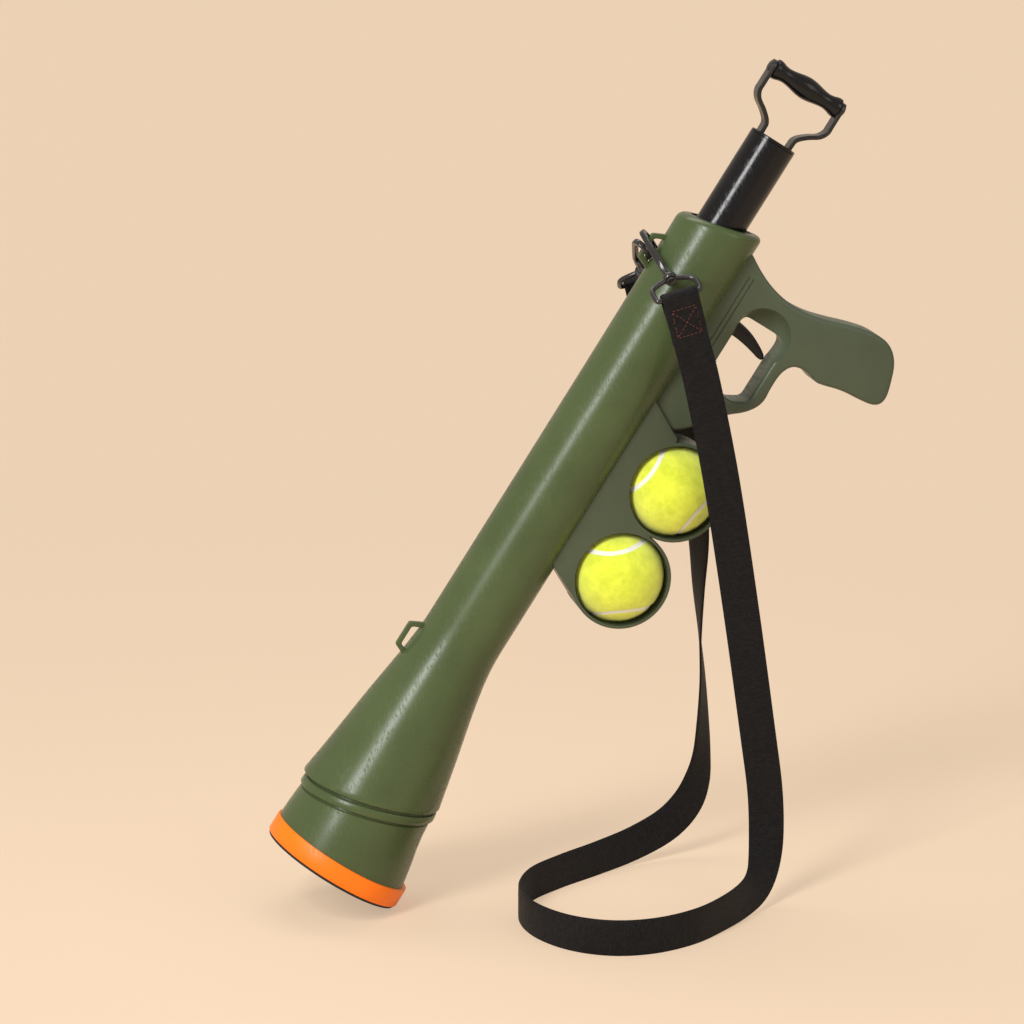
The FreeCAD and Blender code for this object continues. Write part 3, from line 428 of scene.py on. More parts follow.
def girth(line, station):
    """Radius and drop at a station, on a smooth line through (station, radius, drop) hoops."""
    last = len(line) - 1
    k = max(0, min(last - 1, sum(1 for hoop_at in line if hoop_at[0] <= station) - 1))
    reach = line[k + 1][0] - line[k][0]
    t = (station - line[k][0]) / reach
    found = []
    for part in (1, 2):
        tilts = []
        for j in (k, k + 1):
            a, b = max(j - 1, 0), min(j + 1, last)
            tilts.append((line[b][part] - line[a][part]) / (line[b][0] - line[a][0]) * reach)
        if not 0.0 <= t <= 1.0:
            found.append(line[k][part] + (line[k + 1][part] - line[k][part]) * t)
            continue
        found.append((2 * t ** 3 - 3 * t * t + 1) * line[k][part] + (t ** 3 - 2 * t * t + t) * tilts[0]
                     + (3 * t * t - 2 * t ** 3) * line[k + 1][part] + (t ** 3 - t * t) * tilts[1])
    return found


def hoop(line, station, slope=0.0, grow=0.0, points=160):
    """A ring of points round the level launcher, in millimetres, slanted back toward the grip side by slope."""
    ring = []
    for k in range(points):
        angle = 2 * math.pi * k / points
        at = station
        for _ in range(4):
            radius, drop = girth(line, at)
            height = (radius + grow) * math.sin(angle) - drop
            at = station - slope * height
        ring.append(Vector((at, (radius + grow) * math.cos(angle), height)))
    return ring


def skinned(rings, joined=True):
    """A closed skin through rings of points; joined runs on from the last ring to the first."""
    build = bmesh.new()
    loops = [[build.verts.new(point) for point in ring] for ring in rings]
    pairs = list(zip(loops, loops[1:])) + ([(loops[-1], loops[0])] if joined else [])
    for first, second in pairs:
        for k in range(len(first)):
            j = (k + 1) % len(first)
            build.faces.new((first[k], first[j], second[j], second[k]))
    if not joined:
        build.faces.new(loops[0][::-1])
        build.faces.new(loops[-1])
    return settled(build, "skin", outwards=True)


def leant(mesh):
    """The mesh moved from the level launcher, in millimetres, to where it stands."""
    mesh.transform(leaning)
    return mesh


def stretched(tree, place, **values):
    """The place drawn out one way, for marks that run in lines."""
    made = node(tree, "ShaderNodeMapping", **values)
    linked(tree, (place, made, "Vector"))
    return made.outputs["Vector"]


def moulded_plastic(name, colour, roughness, grain):
    """Injection-moulded plastic: fine spark grain, faint flow mottling, and hairline scuffs that dull the gloss."""
    material, tree, shader = surface(name, IOR=1.5, Specular_IOR_Level=0.3)
    place = object_place(tree)
    flow = noise(tree, place, Scale=14.0, Detail=5.0, Roughness=0.6)
    shade = tuple(c * 0.84 for c in colour)
    light = tuple(min(c * 1.14, 1.0) for c in colour)
    lines = stretched(tree, place, Scale=(700.0, 90.0, 260.0), Rotation=(0.3, 0.9, 0.4))
    hairlines = noise(tree, lines, Scale=1.0, Detail=2.0)
    linked(tree, (ramp(tree, flow, 0.3, 0.7, shade, light), shader, "Base Color"),
           (ramp(tree, hairlines, 0.5, 0.74, roughness, min(roughness + 0.2, 1.0)), shader, "Roughness"))
    bumped(tree, shader, noise(tree, place, Scale=1500.0, Detail=2.0), grain, 0.0002)
    return material


olive = moulded_plastic("olive_moulding", (0.060, 0.086, 0.032), 0.26, 0.06)
shell_rows = [(2, 0, 0), (8, 0.05, 0), (15, 0.1, 0), (22, 0.15, 0), (30, 0.2, 0), (38, 0.25, 0), (44, seam_slope, 0),
              (47.6, seam_slope, 0), (47.9, seam_slope, -0.8), (48.3, seam_slope, -1.1), (49.5, seam_slope, -1.1),
              (49.9, seam_slope, -0.8), (50.2, seam_slope, 0), (57, seam_slope, 0), (64, seam_slope, 0), (72, 0.2, 0),
              (84, 0, 0)]
shell_bore = [(station, slope, -2.4) for station, slope, grow in reversed(shell_rows) if grow == 0]
funnel_skin = skinned([hoop(muzzle_line, *row) for row in shell_rows + shell_bore])
shown("muzzle_shell", leant(funnel_skin), olive, "olive_plastic", "barrel", "funnel")
band_rows = [(band_front, 0.0), (band_front, 1.1), (band_front + 0.3, 1.7), (band_front + 1.1, 2.1),
             (band_rear - 1.1, 2.1), (band_rear - 0.3, 1.7), (band_rear, 1.1), (band_rear, 0.0)]
band_skin = skinned([hoop(muzzle_line, station, seam_slope, grow) for station, grow in band_rows])
shown("muzzle_band", leant(band_skin), olive, "olive_plastic", "barrel", "seam_bead")


# Safety ring and lip.
# The bright orange ring is a separate moulding, pushed over the funnel's edge. In front of it a thin black
# rubber lip takes the knocks, and the launcher stands on it.

ring_line = [(-5.0, 51.6, 8.4), (20.0, 51.6, 8.4)]
orange = moulded_plastic("orange_moulding", (1.0, 0.18, 0.004), 0.38, 0.12)
rubber = moulded_plastic("black_rubber", (0.014, 0.014, 0.014), 0.62, 0.5)
ring_rows = [hoop(ring_line, station, 0.0, grow) for station, grow in (
    (-0.6, -4.2), (-1.0, -3.8), (-1.0, -0.9), (-0.75, -0.3), (-0.2, 0.0), (4.0, 0.0), (11.8, 0.0), (12.3, -0.25),
    (12.5, -0.8))]
ring_rows += [hoop(muzzle_line, station, 0.0, 0.06) for station in (12.5, 9.0, 5.0, 2.0)]
ring_rows += [hoop(ring_line, 2.0, 0.0, -4.2)]
shown("safety_ring", leant(skinned(ring_rows)), orange, "orange_plastic", "barrel", "muzzle_ring")
lip_rows = [(-1.0, -1.2), (-2.2, -1.2), (-2.65, -1.45), (-2.8, -1.95), (-2.8, -3.8), (-2.65, -4.35), (-2.2, -4.6),
            (-1.0, -4.6)]
lip_skin = skinned([hoop(ring_line, station, 0.0, grow) for station, grow in lip_rows])
shown("rubber_lip", leant(lip_skin), rubber, "black_rubber", "barrel", "muzzle_lip")


# Ball retainer.
# One ring of soft black rubber behind the funnel. Eight fingers cone in from it; they bend as a ball is pushed
# past them and keep it from rolling out again.

retainer_drop, retainer_front, finger_count = 3.7, 84.2, 8


def finger(number):
    """One soft finger as a closed block, bent a little inward at its tip."""
    gap = math.radians(2.7)
    start, stop = (2 * math.pi * end / finger_count for end in (number, number + 1))
    start, stop = start + gap, stop - gap
    rows = [(0.5, 38.9), (4.0, 37.0), (7.5, 34.6), (10.0, 32.8), (10.4, 32.2), (10.0, 31.3), (7.3, 33.0), (3.6, 35.4),
            (0.5, 37.3)]
    rings = []
    for k in range(11):
        angle = start + (stop - start) * k / 10
        rings.append([Vector((retainer_front + at, radius * math.cos(angle),
                              radius * math.sin(angle) - retainer_drop)) for at, radius in rows])
    return skinned(rings, joined=False)


def united(meshes):
    """Several meshes as one."""
    build = bmesh.new()
    for mesh in meshes:
        build.from_mesh(mesh)
    return settled(build, "united")


retainer_line = [(0.0, 40.0, retainer_drop), (200.0, 40.0, retainer_drop)]
base_rows = [(0.0, -0.3), (0.3, 0.0), (3.7, 0.0), (4.0, -0.3), (4.0, -2.3), (3.7, -2.6), (0.3, -2.6), (0.0, -2.3)]
base_skin = skinned([hoop(retainer_line, retainer_front + at, 0.0, grow) for at, grow in base_rows])
retainer = united([base_skin] + [finger(number) for number in range(finger_count)])
shown("retainer_fingers", leant(retainer), rubber, "black_rubber", "barrel", "ball_retainer")


# Barrel.
# One long olive ABS moulding: the bell, the straight tube, a slight swell at the rear and a slanted end wall
# with rounded edges. Two open eyes for the strap are moulded on top.

barrel_radius, barrel_wall = 28.3, 2.5
barrel_line = [(40.0, 51.4, 5.8), (72.0, 45.6, 4.4), (110.0, 39.2, 2.5), (138.0, 34.1, 1.1), (152.0, 31.7, 0.6),
               (165.0, 29.8, 0.2), (180.0, 28.5, 0.0), (200.0, 28.3, 0.0), (430.0, 28.3, 0.0), (529.2, 29.4, 0.0)]
rear_slope, rear_end, rear_rounding = 0.242, 517.2, 5.0
bush_hole, bore_end = 21.2, 502.1


def straight(radius):
    """The line of a plain tube."""
    return [(0.0, radius, 0.0), (700.0, radius, 0.0)]


bell_rows = [(59.9 + 140.1 * k / 40, seam_slope * (1 - k / 40)) for k in range(41)]
barrel_rings = [hoop(barrel_line, station, slope) for station, slope in bell_rows]
barrel_rings += [hoop(barrel_line, 200.0 + 28.75 * k) for k in range(1, 9)]
barrel_rings += [hoop(barrel_line, 430.0 + 8.2 * k, rear_slope * k / 10) for k in range(1, 11)]
for k in range(1, 8):
    turn = math.radians(90.0 * k / 7)
    barrel_rings.append(hoop(barrel_line, rear_end - rear_rounding * (1 - math.sin(turn)), rear_slope,
                             -rear_rounding * (1 - math.cos(turn))))
barrel_rings += [hoop(straight(bush_hole), rear_end, rear_slope), hoop(straight(bush_hole), bore_end),
                 hoop(straight(barrel_radius - barrel_wall), bore_end)]
barrel_rings += [hoop(barrel_line, station, 0.0, -barrel_wall) for station in (430.0, 315.0)]
barrel_rings += [hoop(barrel_line, station, slope, -barrel_wall) for station, slope in reversed(bell_rows)]
barrel_rings += [hoop(barrel_line, station, seam_slope, grow) for station, grow in (
    (59.3, -2.25), (59.0, -1.7), (59.0, -0.8), (59.3, -0.25))]
barrel_skin = skinned(barrel_rings)


def rounded(corners, radius, steps=5):
    """An outline whose corners are turned into bends."""
    bent = []
    for k, corner in enumerate(corners):
        corner = Vector(corner)
        back = Vector(corners[k - 1]) - corner
        ahead = Vector(corners[(k + 1) % len(corners)]) - corner
        room = min(back.length, ahead.length) * 0.48
        back.normalize()
        ahead.normalize()
        cut = min(radius / math.tan(back.angle(ahead) / 2), room)
        for step in range(steps + 1):
            t = step / steps
            bent.append((corner + back * cut) * (1 - t) ** 2 + corner * (2 * t * (1 - t))
                        + (corner + ahead * cut) * t * t)
    return bent


def moulded_plate(outline, half_width, edge, holes=()):
    """A flat moulding in the middle plane of the level launcher, its outer edges rounded by edge."""
    shape = bpy.data.curves.new("outline", "CURVE")
    shape.dimensions, shape.fill_mode = "2D", "BOTH"
    shape.extrude, shape.bevel_depth, shape.offset = half_width - edge, edge, -edge
    shape.bevel_resolution = 3
    for points in (outline, *holes):
        spline = shape.splines.new("POLY")
        spline.points.add(len(points) - 1)
        for knot, (at, height) in zip(spline.points, points):
            knot.co = (at, height, 0.0, 1.0)
        spline.use_cyclic_u = True
    flat = plain_mesh(bpy.data.objects.new("outline", shape))
    flat.transform(Matrix.Rotation(math.radians(90.0), 4, "X"))
    build = bmesh.new()
    build.from_mesh(flat)
    bmesh.ops.remove_doubles(build, verts=build.verts, dist=0.005)
    bmesh.ops.recalc_face_normals(build, faces=build.faces)
    build.to_mesh(flat)
    build.free()
    return flat


def strap_eye(station):
    """One open eye on top of the barrel: a low arch with thick legs."""
    top, foot = barrel_radius + 9.9, barrel_radius - 1.2
    arch = [(station - 14.3, foot), (station - 9.2, top), (station + 9.2, top), (station + 14.3, foot),
            (station + 10.2, foot), (station + 7.0, top - 3.3), (station - 7.0, top - 3.3), (station - 10.2, foot)]
    return moulded_plate(rounded(arch, 2.2), 2.0, 0.7)


barrel_whole = united([barrel_skin, strap_eye(165.0), strap_eye(478.0)])
shown("barrel_shell", leant(barrel_whole), olive, "olive_plastic", "barrel", "barrel")


# Plunger and its guides.
# The bush in the rear wall, the long pull tube with its piston and soft pad, the stop ring, the spring and its
# seat. They are black mouldings turned or drawn round one line; only the tube and the bush show from outside.

dark_plastic = moulded_plastic("black_satin_moulding", (0.010, 0.010, 0.011), 0.45, 0.25)
gloss_black = moulded_plastic("black_gloss_tube", (0.004, 0.0045, 0.006), 0.16, 0.03)


def dressed(material, *parts):
    """The CAD nodes of hidden parts get their material."""
    for part in parts:
        nodes[part].data.materials.clear()
        nodes[part].data.materials.append(material)


def turned(profile):
    """A ring turned round the barrel's line from its closed (station, radius) outline."""
    return leant(skinned([hoop(straight(radius), station, 0.0, 0.0, 128) for station, radius in profile]))


bush_rings = [hoop(straight(radius), station, slope) for station, radius, slope in (
    (500.1, 17.3, 0.0), (500.1, 23.7, 0.0), (500.4, 24.0, 0.0), (502.0, 24.0, 0.0), (502.05, 21.0, 0.0),
    (515.9, 21.0, rear_slope), (516.4, 20.5, rear_slope), (516.4, 17.6, rear_slope), (515.9, 17.05, rear_slope),
    (500.4, 17.05, 0.0))]
shown("tube_bush", leant(skinned(bush_rings)), dark_plastic, "black_inner_plastic", "barrel", "rear_bush")
shown("long_tube", turned([(168.3, 15.2), (168.3, 16.8), (168.5, 17.0), (375.0, 17.0), (581.6, 17.0), (582.0, 16.6),
                           (582.0, 15.4), (581.8, 15.0), (375.0, 15.0), (168.5, 15.0)]),
      gloss_black, "black_plastic", "puller", "pull_tube")
dressed(dark_plastic, "plunger_head", "spring_seat", "stop_ring")
pad_profile = [(159.9, 0.6), (148.6, 0.6), (148.6, 6.0), (149.4, 12.0), (150.6, 17.0), (149.3, 20.6), (149.5, 21.6),
               (150.3, 22.0), (159.5, 22.0), (159.9, 21.6)]
shown("soft_pad", turned(pad_profile), rubber, "black_rubber", "puller", "plunger_pad")
washer_profile = [(156.0, 24.5), (156.0, 26.5), (156.3, 26.8), (159.7, 26.8), (160.0, 26.5), (160.0, 24.5),
                  (159.8, 24.3), (156.2, 24.3)]
shown("landing_washer", turned(washer_profile), rubber, "black_rubber", "barrel", "buffer_washer")



# Pull handle.
# A bent strip of black painted steel runs from the tube's cap to both ends of a turned plastic grip, which
# spins on a steel pin with domed heads. The cap plugs the tube, and a cross pin holds both.

grip_station = 625.0


def brushed(name, colour, roughness):
    """Bright steel with fine lines along it and dull patches from handling."""
    material, tree, shader = surface(name, Metallic=1.0)
    place = object_place(tree)
    lines = noise(tree, stretched(tree, place, Scale=(60.0, 1500.0, 900.0)), Scale=1.0, Detail=3.0)
    linked(tree, (ramp(tree, lines, 0.3, 0.7, roughness, roughness + 0.18), shader, "Roughness"),
           (ramp(tree, lines, 0.3, 0.7, tuple(c * 0.8 for c in colour), colour), shader, "Base Color"))
    return material


def painted_steel(name, colour, roughness):
    """Black enamel on steel: thin, a little uneven, worn brown where hands and rings rub it."""
    material, tree, shader = surface(name, Specular_IOR_Level=0.3, Coat_Weight=0.3, Coat_Roughness=0.12)
    place = object_place(tree)
    rubbed = noise(tree, place, Scale=60.0, Detail=6.0, Roughness=0.7)
    worn = tuple(c * 1.6 + extra for c, extra in zip(colour, (0.014, 0.008, 0.004)))
    linked(tree, (ramp(tree, rubbed, 0.58, 0.85, colour, worn), shader, "Base Color"),
           (ramp(tree, rubbed, 0.4, 0.75, roughness, roughness + 0.25), shader, "Roughness"))
    bumped(tree, shader, noise(tree, place, Scale=420.0, Detail=1.0), 0.12, 0.0003)
    return material


steel = brushed("bright_steel", (0.62, 0.61, 0.6), 0.22)
enamel = painted_steel("black_enamel", (0.012, 0.011, 0.011), 0.26)
strip_route = [(568.2, 11.5), (586.0, 11.5), (592.0, 12.6), (597.6, 18.6), (602.0, 25.2), (607.0, 28.3),
               (612.0, 28.5), (619.5, 28.5), (625.0, 28.5), (628.5, 28.5), (630.3, 28.5)]
strip_route = smoothed([(Vector((at, 0.0, height)),) for at, height in strip_route], 5)


def strip_leg(side):
    """One leg of the handle's flat strip, its end rounded off over the pin."""
    points = [Vector((p[0].x, 0.0, side * p[0].z)) for p in strip_route]
    rings = []
    for k, point in enumerate(points):
        ahead = (points[min(k + 1, len(points) - 1)] - points[max(k - 1, 0)]).normalized()
        out = Vector((-ahead.z, 0.0, ahead.x))
        half = 5.5
        if point.x > grip_station:
            half = math.sqrt(max(5.5 ** 2 - (point.x - grip_station) ** 2, 0.3))
        section = [(-half, -1.0), (-half + 0.5, -1.5), (half - 0.5, -1.5), (half, -1.0), (half, 1.0),
                   (half - 0.5, 1.5), (-half + 0.5, 1.5), (-half, 1.0)]
        rings.append([point + Vector((0, across, 0)) + out * lift for across, lift in section])
    return skinned(rings, joined=False)


def block(x0, x1, y0, y1, z0, z1):
    """A plain block between two corners."""
    rings = [[Vector((x, y0, z0)), Vector((x, y1, z0)), Vector((x, y1, z1)), Vector((x, y0, z1))] for x in (x0, x1)]
    return skinned(rings, joined=False)


strip = united([strip_leg(1), strip_leg(-1), block(568.0, 570.0, -5.5, 5.5, -12.9, 12.9)])
shown("handle_strip", leant(strip), enamel, "black_steel", "puller", "yoke")


def spun(profile, place, count=64):
    """A closed solid spun round its own upright axis from (radius, height) points, then put in its place."""
    build = bmesh.new()
    rings = []
    for radius, height in profile:
        angles = [0.0] if radius < 0.001 else [2 * math.pi * k / count for k in range(count)]
        rings.append([build.verts.new((radius * math.cos(angle), radius * math.sin(angle), height))
                      for angle in angles])
    for first, second in zip(rings, rings[1:]):
        for k in range(count):
            j = (k + 1) % count
            corners = [first[0]] if len(first) == 1 else [first[k], first[j]]
            corners += [second[0]] if len(second) == 1 else [second[j], second[k]]
            build.faces.new(corners)
    mesh = settled(build, "spun", outwards=True)
    mesh.transform(place)
    return mesh


grip_profile = [(0.0, -26.7), (6.3, -26.7), (6.9, -26.3), (7.0, -25.6), (7.0, -24.0), (6.7, -22.6), (5.9, -20.2)]
for k in range(-12, 13):
    grip_profile.append((5.4 + 2.4 * math.cos(math.pi * k / 24) ** 2, 17.2 * k / 12))
grip_profile += [(radius, -height) for radius, height in reversed(grip_profile[:7])]
grip_place = Matrix.Translation((grip_station, 0.0, 0.0))
grip_bar = spun(grip_profile, grip_place)
shown("turned_grip", leant(grip_bar), gloss_black, "black_plastic", "grip", "handle_grip")
pin_heads = []
for side in (1, -1):
    dome = [(0.0, 31.5), (1.8, 31.4), (3.2, 31.1), (3.9, 30.7), (4.2, 30.05), (0.0, 30.05)]
    pin_heads.append(spun([(radius, side * height) for radius, height in dome], grip_place))
pin_rod = spun([(0.0, -29.9), (1.9, -29.9), (1.9, 29.9), (0.0, 29.9)], grip_place)
shown("grip_rivet", leant(united(pin_heads + [pin_rod])), enamel, "plain_steel", "puller", "grip_pin")
dressed(gloss_black, "tube_cap")
dressed(steel, "cap_pin")


# Grip frame.
# Two satin olive halves, moulded hollow and screwed together on the middle plane: the pistol grip with finger
# swells, the trigger guard, a thumb scoop on each side, and the web that carries both ball cups.

satin_olive = moulded_plastic("olive_satin_moulding", (0.060, 0.078, 0.046), 0.36, 0.18)
grip_outline = [
    (513.5, -23.0), (504.8, -37.0), (498.5, -52.0), (495.6, -68.0), (496.6, -85.0), (501.0, -101.0), (506.0, -116.0),
    (509.6, -131.0), (508.6, -145.0), (500.0, -155.0), (486.0, -160.6), (474.0, -164.0), (466.6, -160.0),
    (464.8, -147.0), (464.0, -133.0), (460.0, -119.0), (459.2, -113.5), (462.6, -104.0), (461.0, -94.0),
    (453.0, -89.2), (440.0, -88.8), (428.0, -90.2), (417.0, -83.6), (408.0, -71.5), (396.0, -61.0), (382.0, -50.0),
    (376.0, -36.0), (384.0, -22.0), (410.0, -12.0), (450.0, -9.0), (488.0, -8.0), (509.0, -12.0)]
guard_hole = [(420.0, -45.0), (473.0, -45.0), (473.0, -80.0), (424.0, -80.0), (418.5, -70.0), (418.5, -53.0)]
cup_stations, cup_drop, cup_bore, cup_outer = (274.7, 345.1), 69.5, 32.85, 35.05
grip_half, cup_half = 14.0, 18.0


def flowing(points, steps=7):
    """A smooth closed outline through the middles of the points' polygon."""
    flow = []
    for k, corner in enumerate(points):
        corner = Vector(corner)
        start = (Vector(points[k - 1]) + corner) / 2
        end = (corner + Vector(points[(k + 1) % len(points)])) / 2
        for step in range(steps):
            t = step / steps
            flow.append(start * (1 - t) ** 2 + corner * (2 * t * (1 - t)) + end * t * t)
    return flow


def cut_away(mesh, cutters):
    """The mesh with closed cutter meshes taken out of it."""
    piece = bpy.data.objects.new("cut", mesh)
    tools = []
    for cutter in cutters:
        tool = bpy.data.objects.new("tool", cutter)
        scene.collection.objects.link(tool)
        cut = piece.modifiers.new("cut", "BOOLEAN")
        cut.operation, cut.solver, cut.object = "DIFFERENCE", "EXACT", tool
        tools.append(tool)
    left = plain_mesh(piece)
    for tool in tools:
        bpy.data.objects.remove(tool)
    return left


def cup_outline():
    """The outline of both cups and the web that joins them to the barrel."""
    front, rear = cup_stations
    outline = [(front - 30.0, -52.0), (front - 14.0, -20.0), (rear + 48.0, -20.0), (rear + 32.0, -50.0)]
    for k in range(25):
        angle = math.radians(33.0 - 211.0 * k / 24)
        outline.append((rear + cup_outer * math.cos(angle), -cup_drop + cup_outer * math.sin(angle)))
    for k in range(33):
        angle = math.radians(-2.0 - 208.0 * k / 32)
        outline.append((front + cup_outer * math.cos(angle), -cup_drop + cup_outer * math.sin(angle)))
    return outline


def sphere_cutter(radius, place):
    """A fine sphere to cut with."""
    build = bmesh.new()
    bmesh.ops.create_uvsphere(build, u_segments=96, v_segments=64, radius=radius, matrix=Matrix.Translation(place))
    return settled(build, "scoop")


barrel_cutter = skinned([hoop(straight(barrel_radius + 0.02), station, points=192) for station in (200.0, 600.0)],
                        joined=False)
bell_cutter = skinned([hoop(barrel_line, station, grow=0.02, points=192) for station in range(140, 260, 10)],
                      joined=False)
upright = Matrix.Rotation(math.radians(90.0), 4, "X")
grip_plate = moulded_plate(flowing(grip_outline), grip_half, 3.0, [rounded(guard_hole, 6.0)[::-1]])
scoops = [sphere_cutter(22.7, (466.0, side * 23.6, -63.5)) for side in (1, -1)]
pocket = block(417.0, 478.5, -4.5, 4.5, -50.0, -20.0)
lines = [block(440.0, 497.0, side * grip_half - 0.6, side * grip_half + 0.6, height - 0.5, height + 0.5)
         for side in (1, -1) for height in (-33.0, -36.5)]
grip_part = cut_away(grip_plate, scoops + lines + [pocket, barrel_cutter])
cup_plate = moulded_plate(cup_outline(), cup_half, 0.9)
ball_holes = [spun([(0.0, -40.0), (cup_bore, -40.0), (cup_bore, 40.0), (0.0, 40.0)],
                   Matrix.Translation((at, 0.0, -cup_drop)) @ upright)
              for at in cup_stations]
cup_part = cut_away(cup_plate, ball_holes + [barrel_cutter, bell_cutter])
shown("grip_frame", leant(united([grip_part, cup_part])), satin_olive, "olive_plastic_matt", "barrel",
      "frame_near", "frame_far", crease=28.0)

screw_places = [(259.5, 35.2), (309.9, 50.0), (372.0, 36.0), (411.0, 56.0), (487.0, 84.0), (484.0, 146.0)]
screw_head = spun([(0.0, 0.9), (1.2, 0.9), (1.2, 1.75), (2.2, 1.6), (2.9, 1.1), (3.2, 0.4), (3.2, 0.0), (0.0, 0.0)],
                  Matrix.Rotation(math.radians(-90.0), 4, "X"))
screw_head.transform(Matrix.Scale(0.001, 4))
screw_spots = [leaning @ Vector((at, (cup_half if at < 400 else grip_half) - 1.6, -height))
               for at, height in screw_places]
screw_turns = [(0.0, 0.7 * k, 0.0) for k in range(len(screw_spots))]
screws = repeated("frame_screw_heads", screw_spots, screw_turns, screw_head, enamel)
shown("frame_screw_set", screws, enamel, "black_steel", "barrel", "frame_screws")


# Trigger and sear.
# A curved black blade in the guard, on a steel pin. Its arm tips the sear, a flat steel lever that holds the
# drawn plunger; two small springs bring both back.

blade_outline = [(456.5, -39.5), (456.7, -48.5), (455.8, -57.5), (453.6, -67.5), (451.8, -73.7), (453.4, -75.9),
                 (456.4, -75.1), (460.4, -68.5), (464.6, -59.5), (466.8, -50.5), (467.6, -42.5), (466.0, -35.5),
                 (460.0, -35.5)]
arm_outline = [(462.0, -31.9), (447.4, -31.1), (447.4, -33.7), (460.0, -39.5)]
blade = moulded_plate(flowing(blade_outline), 4.0, 1.3)
arm = moulded_plate(rounded(arm_outline, 0.6), 3.0, 0.3)
shown("trigger_blade", leant(united([blade, arm])), gloss_black, "black_plastic", "trigger", "trigger")
dressed(steel, "sear", "trigger_pin", "sear_pin", "trigger_spring", "sear_spring", "main_spring")


# Spare balls.
# Two 65 mm balls in the cups: a rubber core under fluffy yellow-green felt, cut in two pieces that meet in a
# sunk white rubber seam. Loose fibres stand off the felt and blur its edge.

ball_radius = 32.7


def felt():
    """Fluorescent felt with combed patches and fine nap, and the seam's white rubber where the mesh marks it."""
    material, tree, shader = surface("yellow_felt", Sheen_Weight=0.5, Sheen_Roughness=0.6, Roughness=0.9,
                                     Specular_IOR_Level=0.2)
    place = object_place(tree)
    patches = noise(tree, place, Scale=110.0, Detail=6.0, Roughness=0.7)
    seam = node(tree, "ShaderNodeAttribute", attribute_name="seam")
    colour = node(tree, "ShaderNodeMixRGB", Color2=(0.8, 0.82, 0.72, 1.0))
    linked(tree, (ramp(tree, seam.outputs["Fac"], 0.45, 0.7, 0.0, 1.0), colour, "Fac"),
           (ramp(tree, patches, 0.3, 0.7, (0.60, 0.70, 0.012), (0.84, 0.93, 0.05)), colour, "Color1"),
           (colour, "Color", shader, "Base Color"))
    bumped(tree, shader, noise(tree, place, Scale=900.0, Detail=4.0, Roughness=0.8), 0.8, 0.0008)
    return material


def seam_nearness(directions):
    """How near each direction is to the ball's wavy seam: 1 on it, 0 beyond the felt's edge."""
    wave = []
    for k in range(240):
        t = 2 * math.pi * k / 240
        wave.append(Vector((0.82 * math.cos(t) + 0.18 * math.cos(3 * t), 0.82 * math.sin(t) - 0.18 * math.sin(3 * t),
                            0.768 * math.sin(2 * t))))
    line = KDTree(len(wave))
    for k, point in enumerate(wave):
        line.insert(point, k)
    line.balance()
    near = []
    for way in directions:
        distance = line.find(way)[2] * ball_radius
        near.append(max(0.0, min(1.0, 1.0 - (distance - 1.1) / 1.4)))
    return near


def fibres(ball, name, material):
    """Loose fibres over the felt, away from the seam, made by Geometry Nodes into the ball's own mesh."""
    tree, given, made = blank_tree(name, Fibres_per_square_metre="Float", Fibre_length="Float", Fibre_radius="Float")
    seam = node(tree, "GeometryNodeInputNamedAttribute", data_type="FLOAT", Name="seam")
    felt_only = node(tree, "FunctionNodeCompare", data_type="FLOAT", operation="LESS_THAN")
    felt_only.inputs["B"].default_value = 0.2
    scatter = node(tree, "GeometryNodeDistributePointsOnFaces", distribute_method="RANDOM", Seed=11)
    hair = node(tree, "GeometryNodeMeshCone", Vertices=3)
    copies = node(tree, "GeometryNodeInstanceOnPoints")
    tilt = node(tree, "FunctionNodeRandomValue", data_type="FLOAT_VECTOR", Seed=5)
    tilt.inputs["Min"].default_value = (-1.1, -1.1, -3.1)
    tilt.inputs["Max"].default_value = (1.1, 1.1, 3.1)
    lay = node(tree, "GeometryNodeRotateInstances")
    real = node(tree, "GeometryNodeRealizeInstances")
    together = node(tree, "GeometryNodeJoinGeometry")
    coloured = node(tree, "GeometryNodeSetMaterial", Material=material)
    linked(tree, (given, "Geometry", scatter, "Mesh"),
           (given, "Fibres per square metre", scatter, "Density"), (seam, "Attribute", felt_only, "A"),
           (felt_only, "Result", scatter, "Selection"), (given, "Fibre length", hair, "Depth"),
           (given, "Fibre radius", hair, "Radius Bottom"), (scatter, "Points", copies, "Points"),
           (scatter, "Rotation", copies, "Rotation"), (hair, "Mesh", copies, "Instance"),
           (copies, "Instances", lay, "Instances"), (tilt, "Value", lay, "Rotation"),
           (lay, "Instances", real, "Geometry"), (real, "Geometry", together, "Geometry"),
           (given, "Geometry", together, "Geometry"), (together, "Geometry", coloured, "Geometry"),
           (coloured, "Geometry", made, "Geometry"))
    return grown(name, ball, tree, Fibres_per_square_metre=1000000.0, Fibre_length=0.0011, Fibre_radius=0.00004)


